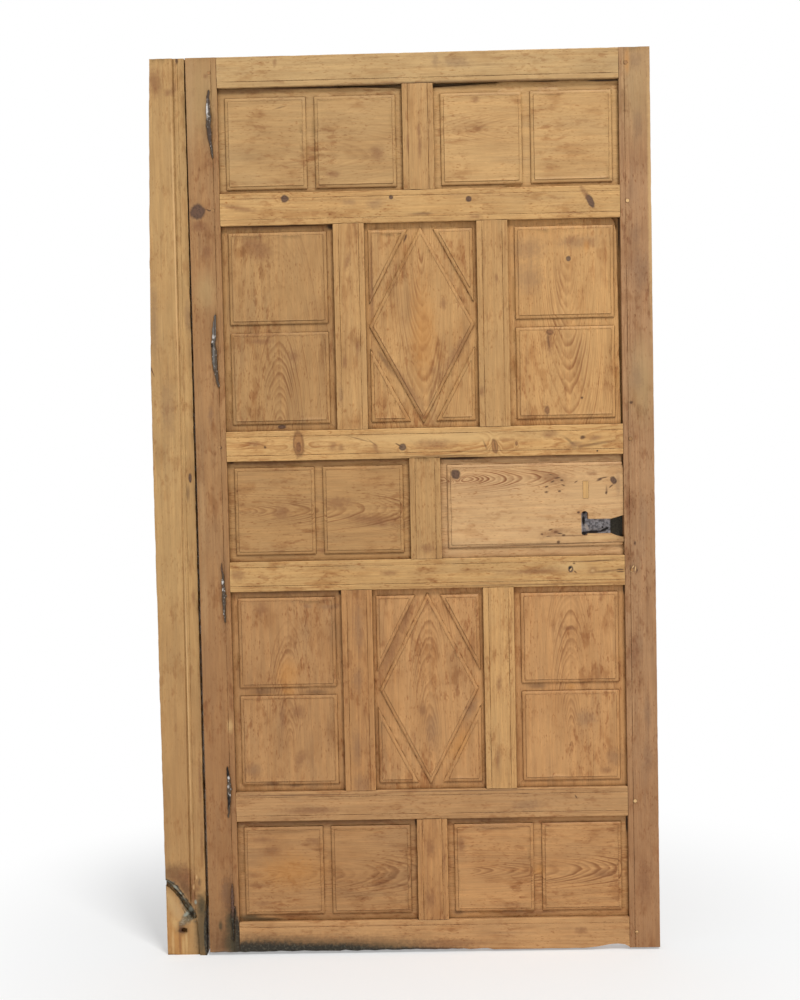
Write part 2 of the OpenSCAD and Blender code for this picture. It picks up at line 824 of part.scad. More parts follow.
// Wood split off the front of the foot, below a ragged crack, with the hole of a lost knot
module torn_foot() {
    cut_in_foot(torn_d) polygon([for (p = torn_outline) on_foot(p)]);
    cut_in_foot(crack_d) polygon([for (p = crack_outline) on_foot(p)]);
    cut_in_foot(crack_d + knot_hole_d / 2)
        translate(on_foot(knot_hole)) circle(d = knot_hole_d, $fn = fine);
}

module jamb() {
    plan_w = jamb_w + seam_foot;
    color(wood) difference() {
        linear_extrude(jamb_h) polygon([
            [ease - jamb_w / 2, front_y],
            [plan_w / 2, front_y],
            [plan_w / 2, -front_y],
            [ease - jamb_w / 2, -front_y],
            [-jamb_w / 2, -front_y - ease],
            [-jamb_w / 2, front_y + ease]
        ]);
        seam_cut();
        strip_cut();
        torn_foot();
        for (i = [0 : hinge_count - 1]) {
            eye_pocket(i);
            jamb_shank(i, fit_clear / 2);
            jamb_legs(i, fit_clear / 2);
        }
    }
}

jamb();
jamb_cotter(0);  // jamb_cotter_1
jamb_cotter(1);  // jamb_cotter_2
jamb_cotter(2);  // jamb_cotter_3
jamb_cotter(3);  // jamb_cotter_4
jamb_cotter(4);  // jamb_cotter_5
hinge_stile();
lock_stile();
bottom_rail();
whole_rail(1, wood);  // fifth_rail
whole_rail(2, wood);  // fourth_rail
whole_rail(3, pale_wood);  // third_rail
whole_rail(4, pale_wood);  // second_rail
whole_rail(5, pale_wood);  // top_rail
muntin(4, 0);  // row1_muntin
muntin(3, 0);  // row2_left_muntin
muntin(3, 1);  // row2_right_muntin
muntin(2, 0);  // row3_muntin
muntin(1, 0);  // row4_left_muntin
muntin(1, 1);  // row4_right_muntin
muntin(0, 0);  // row5_muntin
row1_left_panel();
row1_right_panel();
row2_left_panel();
row2_centre_panel();
row2_right_panel();
row3_left_panel();
lock_panel();
row4_left_panel();
row4_centre_panel();
row4_right_panel();
row5_left_panel();
row5_right_panel();
tenon_pegs();
slip_patch();
lock_plate();
lock_case();
lock_nails();
leaf_cotter(0);  // leaf_cotter_1
leaf_cotter(1);  // leaf_cotter_2
leaf_cotter(2);  // leaf_cotter_3
leaf_cotter(3);  // leaf_cotter_4
leaf_cotter(4);  // leaf_cotter_5
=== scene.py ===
"""Old pine door leaf with moulded and lozenge panels, hung on one jamb of its frame.

Everything is in metres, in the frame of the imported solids: +X runs right across the
front, the front faces -Y, +Z is up and the origin is the middle of the jamb's foot.
"""

import logging
import math
from dataclasses import dataclass, field
from enum import Enum

import bmesh
import bpy
from mathutils import Matrix, Vector, noise


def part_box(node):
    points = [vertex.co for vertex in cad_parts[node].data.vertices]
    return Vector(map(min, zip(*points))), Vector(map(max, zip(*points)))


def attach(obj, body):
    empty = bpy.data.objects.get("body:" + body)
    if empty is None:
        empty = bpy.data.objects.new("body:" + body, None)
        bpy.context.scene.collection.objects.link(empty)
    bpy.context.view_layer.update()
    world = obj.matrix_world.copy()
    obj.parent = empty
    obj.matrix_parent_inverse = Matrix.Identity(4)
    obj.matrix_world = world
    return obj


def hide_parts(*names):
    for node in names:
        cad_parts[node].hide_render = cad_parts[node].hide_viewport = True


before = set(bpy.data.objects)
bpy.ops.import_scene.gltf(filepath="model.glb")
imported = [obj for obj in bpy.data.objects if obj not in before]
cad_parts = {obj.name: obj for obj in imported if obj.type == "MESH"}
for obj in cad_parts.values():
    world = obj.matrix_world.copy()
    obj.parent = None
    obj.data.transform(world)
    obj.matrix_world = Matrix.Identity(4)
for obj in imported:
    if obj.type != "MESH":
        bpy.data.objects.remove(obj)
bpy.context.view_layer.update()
LOG = logging.getLogger("door")

Rgb = tuple[float, float, float]
Socket = bpy.types.NodeSocket
SocketValue = Socket | float | int | tuple[float, ...] | None


def linear(colour: Rgb) -> Rgb:
    """Turns a screen colour into the shader's linear light.

    Args:
        colour: Red, green and blue as seen on screen, 0 to 255.

    Returns:
        The same colour as linear values from 0 to 1.
    """
    parts = []
    for part in colour:
        level = part / 255
        parts.append(level / 12.92 if level <= 0.04045 else ((level + 0.055) / 1.055) ** 2.4)
    return tuple(parts)


def scaled(colour: Rgb, factor: float) -> Rgb:
    """Returns the colour made lighter or darker by a factor."""
    return tuple(min(255.0, part * factor) for part in colour)


class Wiring:
    """Adds nodes and links to one node tree."""

    def __init__(self, tree: bpy.types.NodeTree) -> None:
        """Keeps the tree that the nodes go into."""
        self.tree = tree

    def node(self, kind: str, **settings: object) -> bpy.types.Node:
        """Adds a node.

        Args:
            kind: The node's type name.
            **settings: Attributes to set on it.

        Returns:
            The new node.
        """
        made = self.tree.nodes.new(kind)
        for key, value in settings.items():
            setattr(made, key, value)
        return made

    def put(self, socket: Socket, value: SocketValue) -> None:
        """Links a socket into another, or writes a plain value on it.

        Args:
            socket: The input socket.
            value: Another socket, a number, a vector or a colour.
        """
        if value is None:
            return
        if isinstance(value, Socket):
            self.tree.links.new(value, socket)
        elif socket.type == "RGBA":
            socket.default_value = (*value, 1.0)
        else:
            socket.default_value = value

    def fill(self, made: bpy.types.Node, *values: SocketValue) -> None:
        """Puts values on a node's first inputs, in order."""
        for socket, value in zip(made.inputs, values):
            self.put(socket, value)

    def math(self, operation: str, a: SocketValue, b: SocketValue = None) -> Socket:
        """Adds a Math node.

        Args:
            operation: What it does.
            a: Its first value.
            b: Its second value, where it has one.

        Returns:
            Its result.
        """
        made = self.node("ShaderNodeMath", operation=operation)
        self.fill(made, a, b)
        return made.outputs[0]

    def vector(self, operation: str, a: SocketValue, b: SocketValue = None) -> Socket:
        """Adds a Vector Math node.

        Args:
            operation: What it does.
            a: Its first vector.
            b: Its second vector, where it has one.

        Returns:
            Its vector, or its number where it measures a length.
        """
        made = self.node("ShaderNodeVectorMath", operation=operation)
        self.fill(made, a, b)
        return made.outputs[1 if operation == "LENGTH" else 0]

    def mix(self, factor: SocketValue, a: SocketValue, b: SocketValue, blend: str = "MIX") -> Socket:
        """Adds a colour Mix node.

        Args:
            factor: Share of the second colour.
            a: The first colour.
            b: The second colour.
            blend: How the two are blended.

        Returns:
            The mixed colour.
        """
        made = self.node("ShaderNodeMix", data_type="RGBA", blend_type=blend)
        self.put(made.inputs[0], factor)
        self.put(made.inputs[6], a)
        self.put(made.inputs[7], b)
        return made.outputs[2]

    def noise(self, vector: SocketValue, scale: float, detail: float = 2.0, roughness: float = 0.5) -> Socket:
        """Adds a Noise Texture.

        Args:
            vector: Where it is read.
            scale: How fine it is.
            detail: How many finer layers it has.
            roughness: How strong those layers are.

        Returns:
            Its value.
        """
        made = self.node("ShaderNodeTexNoise")
        self.put(made.inputs["Vector"], vector)
        self.put(made.inputs["Scale"], scale)
        self.put(made.inputs["Detail"], detail)
        self.put(made.inputs["Roughness"], roughness)
        return made.outputs[0]

    def step(
        self,
        value: SocketValue,
        low: SocketValue,
        high: SocketValue,
        to_low: float = 0.0,
        to_high: float = 1.0,
    ) -> Socket:
        """Adds a smooth Map Range node.

        Args:
            value: What is mapped.
            low: Start of the range.
            high: End of the range.
            to_low: Result at the start.
            to_high: Result at the end.

        Returns:
            The mapped value.
        """
        made = self.node("ShaderNodeMapRange", interpolation_type="SMOOTHSTEP")
        self.fill(made, value, low, high, to_low, to_high)
        return made.outputs[0]

    def split(self, vector: SocketValue) -> tuple[Socket, Socket, Socket]:
        """Takes a vector apart.

        Args:
            vector: The vector.

        Returns:
            Its three parts.
        """
        made = self.node("ShaderNodeSeparateXYZ")
        self.fill(made, vector)
        return tuple(made.outputs)

    def join(self, x: SocketValue, y: SocketValue, z: SocketValue) -> Socket:
        """Makes a vector of three numbers.

        Args:
            x: The first number.
            y: The second number.
            z: The third number.

        Returns:
            The vector.
        """
        made = self.node("ShaderNodeCombineXYZ")
        self.fill(made, x, y, z)
        return made.outputs[0]

    def bump(self, height: SocketValue, strength: float, distance: float) -> Socket:
        """Adds a Bump node.

        Args:
            height: The relief.
            strength: How much of it shows.
            distance: How deep it is.

        Returns:
            The bent normal.
        """
        made = self.node("ShaderNodeBump")
        self.put(made.inputs["Strength"], strength)
        self.put(made.inputs["Distance"], distance)
        self.put(made.inputs["Height"], height)
        return made.outputs[0]

    def looked_at(self) -> Socket:
        """Finds what is seen by the camera, in a reflection or through glass.

        Returns:
            1 where it is seen, 0 where it only lights something.
        """
        rays = self.node("ShaderNodeLightPath")
        seen = self.math("MAXIMUM", rays.outputs["Is Camera Ray"], rays.outputs["Is Glossy Ray"])
        return self.math("MAXIMUM", seen, rays.outputs["Is Transmission Ray"])

    def use(self, group: bpy.types.NodeTree, inputs: dict[str, SocketValue]) -> bpy.types.Node:
        """Places a node group with its own values.

        Args:
            group: The shared group.
            inputs: Value or socket for each input name.

        Returns:
            The placed group node.
        """
        made = self.node("ShaderNodeGroup", node_tree=group)
        for name, value in inputs.items():
            self.put(made.inputs[name], value)
        return made


def new_material(name: str) -> tuple[bpy.types.Material, Wiring, bpy.types.Node]:
    """Starts a material.

    Args:
        name: The material's name.

    Returns:
        The material, its wiring and its Principled shader.
    """
    made = bpy.data.materials.new(name)
    made.use_nodes = True
    return made, Wiring(made.node_tree), made.node_tree.nodes["Principled BSDF"]


class SharedGroups:
    """The effects that several materials use, each built once as a node group."""

    def __init__(self) -> None:
        """Builds every group."""
        self.rings = self._rings()
        self.fibres = self._fibres()
        self.clouds = self._clouds()
        self.spot = self._spot()
        self.corner_shade_and_dirt = self._corner_shade_and_dirt()
        self.rubbed_lit_edge = self._rubbed_lit_edge()

    @staticmethod
    def _open(
        name: str, inputs: dict[str, float | str], outputs: list[str]
    ) -> tuple[Wiring, dict[str, Socket], bpy.types.Node]:
        """Starts a group.

        Args:
            name: The group's name.
            inputs: Default number for each input, or "vector".
            outputs: Names of the values that it puts out.

        Returns:
            The wiring, the input sockets by name and the output node.
        """
        tree = bpy.data.node_groups.new(name, "ShaderNodeTree")
        for label, default in inputs.items():
            if default == "vector":
                tree.interface.new_socket(label, in_out="INPUT", socket_type="NodeSocketVector")
                continue
            made = tree.interface.new_socket(label, in_out="INPUT", socket_type="NodeSocketFloat")
            made.default_value = default
        for label in outputs:
            tree.interface.new_socket(label, in_out="OUTPUT", socket_type="NodeSocketFloat")
        wiring = Wiring(tree)
        entry = wiring.node("NodeGroupInput")
        leave = wiring.node("NodeGroupOutput")
        return wiring, {socket.name: socket for socket in entry.outputs if socket.name}, leave

    def _rings(self) -> bpy.types.NodeTree:
        """Year rings round a pith that slopes behind the face, which draws arches on it.

        Returns:
            The group.
        """
        w, given, leave = self._open(
            "year_rings",
            {
                "Grain": "vector",
                "Pith Across": 0.0,
                "Pith Depth": 0.03,
                "Taper": 0.05,
                "Ring Width": 0.004,
                "Wobble": 0.008,
                "Bend": 0.0,
            },
            ["Late", "Ring Tone"],
        )
        slow_size, fine_size, elsewhere, peak = (3.5, 12.0, 12.0), (14.0, 90.0, 90.0), (7.3, 2.1, 4.4), 0.75
        along, across, depth = w.split(given["Grain"])
        slow = w.vector("MULTIPLY", given["Grain"], slow_size)
        shifted = w.vector("ADD", slow, elsewhere)
        sway = []
        for place in (slow, shifted):
            centred = w.math("SUBTRACT", w.noise(place, 1.0, 3.0, 0.55), 0.5)
            sway.append(w.math("MULTIPLY", centred, given["Wobble"]))
        side = w.math("ADD", w.math("SUBTRACT", across, given["Pith Across"]), sway[0])
        sloped = w.math("ADD", w.math("MULTIPLY", along, given["Taper"]), given["Pith Depth"])
        back = w.math("ADD", w.math("ADD", sloped, depth), sway[1])
        radius = w.vector("LENGTH", w.join(side, back, 0.0))
        bent = w.math("ADD", radius, given["Bend"])
        fine = w.noise(w.vector("MULTIPLY", given["Grain"], fine_size), 1.0, 2.0)
        years = w.noise(w.join(w.math("MULTIPLY", bent, 75.0), 0.0, 0.0), 1.0, 2.0)
        count = w.math("DIVIDE", bent, given["Ring Width"])
        count = w.math("ADD", count, w.math("MULTIPLY", fine, 0.5))
        count = w.math("ADD", count, w.math("MULTIPLY", years, 1.8))
        part = w.math("FRACT", count)
        rise = w.step(part, 0.0, peak)
        fall = w.step(part, peak, 1.0, 1.0, 0.0)
        patchy = w.step(w.noise(given["Grain"], 9.0, 2.0), 0.32, 0.6, 0.2, 1.0)
        lean = w.math("DIVIDE", w.math("ABSOLUTE", side), radius)
        flat = w.step(lean, 0.45, 0.95, 1.0, 0.45)
        tone = w.node("ShaderNodeTexWhiteNoise", noise_dimensions="1D")
        w.put(tone.inputs["W"], w.math("FLOOR", count))
        late = w.math("MULTIPLY", w.math("MULTIPLY", rise, fall), w.math("MULTIPLY", patchy, flat))
        w.put(leave.inputs["Late"], late)
        w.put(leave.inputs["Ring Tone"], tone.outputs["Value"])
        return w.tree

    def _fibres(self) -> bpy.types.NodeTree:
        """Fine fibres and broader streaks that run along the grain.

        Returns:
            The group.
        """
        w, given, leave = self._open("wood_fibres", {"Grain": "vector"}, ["Fibre", "Streak"])
        for label, size in (("Fibre", (16.0, 950.0, 950.0)), ("Streak", (5.0, 85.0, 85.0))):
            w.put(leave.inputs[label], w.noise(w.vector("MULTIPLY", given["Grain"], size), 1.0, 3.0, 0.6))
        return w.tree

    def _clouds(self) -> bpy.types.NodeTree:
        """Soft patches where old wax and dirt stayed in the wood.

        Returns:
            The group.
        """
        w, given, leave = self._open(
            "wax_clouds",
            {"Grain": "vector", "Along": 14.0, "Across": 38.0, "Low": 0.5, "High": 0.75, "Shift": 0.0},
            ["Mask"],
        )
        shifted = w.vector("ADD", given["Grain"], w.join(given["Shift"], given["Shift"], 0.0))
        sized = w.vector("MULTIPLY", shifted, w.join(given["Along"], given["Across"], given["Across"]))
        w.put(leave.inputs["Mask"], w.step(w.noise(sized, 1.0, 3.0, 0.58), given["Low"], given["High"]))
        return w.tree

    def _spot(self) -> bpy.types.NodeTree:
        """A round or long spot with a soft or ragged rim, on the X and Z of the leaf.

        Returns:
            The group.
        """
        w, given, leave = self._open(
            "spot",
            {
                "Place": "vector",
                "Centre": "vector",
                "Radius X": 0.01,
                "Radius Z": 0.01,
                "Turn": 0.0,
                "Soft": 0.3,
                "Rough": 0.0,
            },
            ["Mask", "Rim", "Near"],
        )
        dx, _, dz = w.split(w.vector("SUBTRACT", given["Place"], given["Centre"]))
        cosine = w.math("COSINE", given["Turn"])
        sine = w.math("SINE", given["Turn"])
        u = w.math("ADD", w.math("MULTIPLY", dx, cosine), w.math("MULTIPLY", dz, sine))
        v = w.math("SUBTRACT", w.math("MULTIPLY", dz, cosine), w.math("MULTIPLY", dx, sine))
        flat = w.join(w.math("DIVIDE", u, given["Radius X"]), w.math("DIVIDE", v, given["Radius Z"]), 0.0)
        far = w.math("ADD", w.vector("LENGTH", flat), given["Rough"])
        inner = w.math("SUBTRACT", 1.0, given["Soft"])
        outer = w.math("ADD", 1.0, given["Soft"])
        w.put(leave.inputs["Mask"], w.step(far, inner, outer, 1.0, 0.0))
        rim_place, rim_width, reach = 0.85, 0.3, 2.8
        off = w.math("ABSOLUTE", w.math("SUBTRACT", far, rim_place))
        w.put(leave.inputs["Rim"], w.step(off, 0.0, rim_width, 1.0, 0.0))
        w.put(leave.inputs["Near"], w.step(far, 0.0, reach, 1.0, 0.0))
        return w.tree

    def _corner_shade_and_dirt(self) -> bpy.types.NodeTree:
        """Painted shade and dirt in corners, found by ambient occlusion, and the dark line at the bottom of
        quirks and joints.

        Returns:
            The group.
        """
        w, given, leave = self._open("corner_shade_and_dirt", {"Place": "vector", "Reach": 0.01}, ["Mask", "Line"])
        broken = w.step(w.noise(given["Place"], 60.0, 2.0, 0.6), 0.3, 0.7, 0.5, 1.0)
        worn = w.step(w.noise(given["Place"], 23.0, 2.0, 0.6), 0.3, 0.5, 0.45, 1.0)
        wide, thin = ("Mask", 1.0, 0.08, 0.55, broken), ("Line", 0.24, 0.14, 0.45, worn)
        # painted shade: ambient occlusion darkens corners (Mask) and the bottoms of quirks and joints (Line)
        for label, share, low, high, part in (wide, thin):
            shade = w.node("ShaderNodeAmbientOcclusion", samples=2)
            w.put(shade.inputs["Distance"], w.math("MULTIPLY", given["Reach"], share))
            hidden = w.math("SUBTRACT", 1.0, shade.outputs["AO"])
            w.put(leave.inputs[label], w.math("MULTIPLY", w.step(hidden, low, high), part))
        return w.tree

    def _rubbed_lit_edge(self) -> bpy.types.NodeTree:
        """Arrises made pale as rubbed wear and as a painted highlight, from the mark that the mesh carries on
        its eased edges.

        Returns:
            The group.
        """
        w, given, leave = self._open("rubbed_lit_edge", {"Place": "vector"}, ["Mask"])
        eased = w.node("ShaderNodeAttribute", attribute_name="arris")
        broken = w.step(w.noise(given["Place"], 38.0, 2.0, 0.6), 0.38, 0.62)
        w.put(leave.inputs["Mask"], w.math("MULTIPLY", eased.outputs["Fac"], broken))
        return w.tree


@dataclass(frozen=True)
class MarkStyle:
    """How one kind of mark looks on the wood."""

    colour: Rgb
    strength: float
    soft: float
    ragged: float
    bend: float = 0.0
    rim: float = 0.0
    speck: Rgb = (0.0, 0.0, 0.0)
    specks: float = 0.0
    calm: float = 0.0


class MarkKind(Enum):
    """The marks laid on the wood and iron, painted shadows and painted highlights among them."""

    KNOT = MarkStyle((132, 86, 52), 0.8, 0.5, 0.5, 0.009, 0.35, (84, 50, 32), 0.75)
    GREY_KNOT = MarkStyle((104, 80, 62), 0.9, 0.3, 0.35, 0.009, 0.4, (58, 44, 36), 0.75)
    BROWN_KNOT = MarkStyle((94, 67, 52), 0.93, 0.3, 0.35, 0.012, 0.35, (58, 40, 32), 0.8)
    HEART = MarkStyle((158, 108, 62), 0.75, 0.2, 0.3, 0.009, 0.45, (130, 82, 46), 0.5)
    SCAR = MarkStyle((72, 44, 28), 0.85, 0.6, 0.8)
    STAIN = MarkStyle((128, 82, 50), 0.55, 0.85, 0.9, speck=(98, 60, 36), specks=0.5)
    BLUE_STAIN = MarkStyle((126, 94, 69), 0.42, 0.85, 0.9, speck=(98, 72, 58), specks=0.5)
    IRON_STAIN = MarkStyle((92, 66, 50), 0.35, 0.8, 0.4)
    MOULD = MarkStyle((36, 33, 25), 0.95, 0.28, 0.3, speck=(106, 100, 82), specks=0.45)
    OLIVE = MarkStyle((72, 62, 40), 0.8, 0.7, 0.3, speck=(44, 41, 29), specks=0.6)
    CRACK = MarkStyle((92, 86, 68), 0.85, 0.5, 0.8, speck=(164, 162, 146), specks=0.75)
    SPLIT = MarkStyle((44, 40, 30), 0.85, 0.6, 1.0)
    # painted shadow: near-black where shade falls in the gaps under rails, beside stiles and muntins, and in
    # small holes
    GAP_SHADOW = MarkStyle((24, 16, 11), 0.95, 0.45, 0.2)
    SHADE = MarkStyle((86, 57, 36), 0.55, 0.75, 0.5)
    PALE = MarkStyle((212, 174, 118), 0.6, 0.8, 0.5)
    WORN = MarkStyle((184, 148, 104), 0.4, 0.85, 0.6)
    AMBER = MarkStyle((194, 134, 68), 0.5, 0.85, 0.6)
    # painted highlight with rubbed wear: pale lines along the jamb strip's arris
    RUBBED_HIGHLIGHT = MarkStyle((216, 174, 120), 0.7, 0.6, 0.5)
    FLECK = MarkStyle((156, 160, 146), 0.85, 0.5, 0.8, speck=(96, 94, 78), specks=0.4)
    WARM = MarkStyle((150, 98, 56), 0.3, 0.85, 0.3)
    SALLOW = MarkStyle((186, 158, 108), 0.4, 0.85, 0.4)
    PEG = MarkStyle((222, 180, 124), 0.9, 0.2, 0.1)
    # black scale on the hinges, and painted shadow along the edges of the lock cut-out
    BLACK_IRON_AND_SHADOW = MarkStyle((22, 19, 17), 0.95, 0.4, 0.6)
    GREY_IRON = MarkStyle((122, 118, 112), 0.85, 0.5, 0.7, speck=(84, 78, 72), specks=0.5)
    BROWN_IRON = MarkStyle((76, 60, 50), 0.85, 0.5, 0.6, speck=(44, 36, 32), specks=0.6)
    RUST_IRON = MarkStyle((104, 76, 60), 0.92, 0.5, 0.6, speck=(70, 52, 46), specks=0.7)
    # painted highlight: near-white glints on the hinge legs and at the rim of the lock plate
    PAINTED_IRON_GLINT = MarkStyle((214, 208, 202), 0.9, 0.55, 0.9, speck=(112, 100, 92), specks=0.6)
    PLAIN = MarkStyle((0, 0, 0), 0.0, 0.7, 0.3, calm=0.85)


@dataclass(frozen=True)
class Mark:
    """One mark, by the place of its middle on the front of the door."""

    kind: MarkKind
    x: float
    z: float
    radius_x: float
    radius_z: float
    turn: float = 0.0


class MarkLayer:
    """The marks of one piece, laid over the colour of its wood or iron."""

    FADE = 0.01
    RIM_LEVEL = 0.6

    def __init__(
        self, w: Wiring, groups: SharedGroups, place: Socket, marks: tuple[Mark, ...], back: float
    ) -> None:
        """Places the spot of every mark.

        Args:
            w: The material's wiring.
            groups: The shared effects.
            place: The place on the piece.
            marks: The marks.
            back: Y that the marks don't reach, so that the back stays plain.
        """
        self.w = w
        self.marks = marks
        self.front = w.step(w.split(place)[1], back - self.FADE, back, 1.0, 0.0)
        self.grit = w.step(w.noise(place, 175.0, 3.0, 0.65), 0.5, 0.64)
        rough = w.math("SUBTRACT", w.noise(place, 110.0, 3.0, 0.65), 0.5)
        self.spots = [
            w.use(
                groups.spot,
                {
                    "Place": place,
                    "Centre": (mark.x, 0.0, mark.z),
                    "Radius X": mark.radius_x,
                    "Radius Z": mark.radius_z,
                    "Turn": math.radians(mark.turn),
                    "Soft": mark.kind.value.soft,
                    "Rough": w.math("MULTIPLY", rough, 2.0 * mark.kind.value.ragged),
                },
            )
            for mark in marks
        ]

    def bend(self) -> SocketValue:
        """Adds up how far the knots push the year rings aside.

        Returns:
            The push, in metres.
        """
        total: SocketValue = 0.0
        for mark, spot in zip(self.marks, self.spots):
            if mark.kind.value.bend:
                pushed = self.w.math("MULTIPLY", spot.outputs["Near"], mark.kind.value.bend)
                total = self.w.math("ADD", pushed, total)
        return total

    def calm(self, amount: Socket) -> Socket:
        """Weakens the year rings where the wood is plain.

        Args:
            amount: Strength of the rings.

        Returns:
            Their strength with the plain places taken out.
        """
        for mark, spot in zip(self.marks, self.spots):
            if mark.kind.value.calm:
                hidden = self.w.math("MULTIPLY", spot.outputs["Mask"], mark.kind.value.calm)
                amount = self.w.math("MULTIPLY", amount, self.w.math("SUBTRACT", 1.0, hidden))
        return amount

    def over(self, colour: Socket) -> Socket:
        """Lays every mark over a colour.

        Args:
            colour: The colour so far.

        Returns:
            The marked colour.
        """
        for mark, spot in zip(self.marks, self.spots):
            style = mark.kind.value
            if not style.strength:
                continue
            inside: SocketValue = linear(style.colour)
            shown = self.w.math("MULTIPLY", spot.outputs["Mask"], self.front)
            if style.specks:
                specks = self.w.math("MULTIPLY", self.grit, style.specks)
                inside = self.w.mix(specks, inside, linear(style.speck))
            colour = self.w.mix(self.w.math("MULTIPLY", shown, style.strength), colour, inside)
            if style.rim:
                rim = self.w.math("MULTIPLY", self.front, style.rim)
                rim = self.w.math("MULTIPLY", spot.outputs["Rim"], rim)
                colour = self.w.mix(rim, colour, linear(scaled(style.colour, self.RIM_LEVEL)))
        return colour


class Grain(Enum):
    """Axis that a board's fibres follow."""

    LEVEL = 0
    UPRIGHT = 2


class Tone(Enum):
    """Early-wood and late-wood colours of the boards."""

    TOP = ((193, 157, 106), (160, 119, 71))
    HONEY = ((201, 158, 101), (162, 110, 59))
    MUNTIN = ((190, 147, 94), (156, 109, 62))
    RUSSET = ((194, 142, 88), (157, 105, 61))
    HINGE_STILE = ((169, 126, 81), (135, 91, 52))
    LOCK_STILE = ((173, 131, 91), (138, 95, 60))
    TOP_PANEL = ((190, 150, 98), (150, 105, 62))
    UPPER_PANEL = ((192, 147, 93), (149, 100, 56))
    LOCK_PANEL = ((209, 167, 117), (140, 88, 50))
    LOWER_PANEL = ((189, 141, 90), (143, 95, 54))
    LOW_RAIL = ((189, 144, 95), (153, 105, 62))
    JAMB = ((189, 149, 96), (160, 117, 68))


@dataclass(frozen=True)
class Board:
    """What one board's finish needs to know."""

    node: str
    grain: Grain
    tone: Tone
    pith_across: float
    pith_depth: float
    taper: float
    ring: float = 0.0042
    wobble: float = 0.012
    clouds: float = 1.0
    bright: float = 1.0
    contrast: float = 0.6
    # strength of the painted corner shade and dirt
    shade_and_dirt: float = 1.0
    # share of rubbed wear and painted highlight on the eased arrises
    rub_and_highlight: float = 0.55
    flecks: float = 1.0
    marks: tuple[Mark, ...] = ()


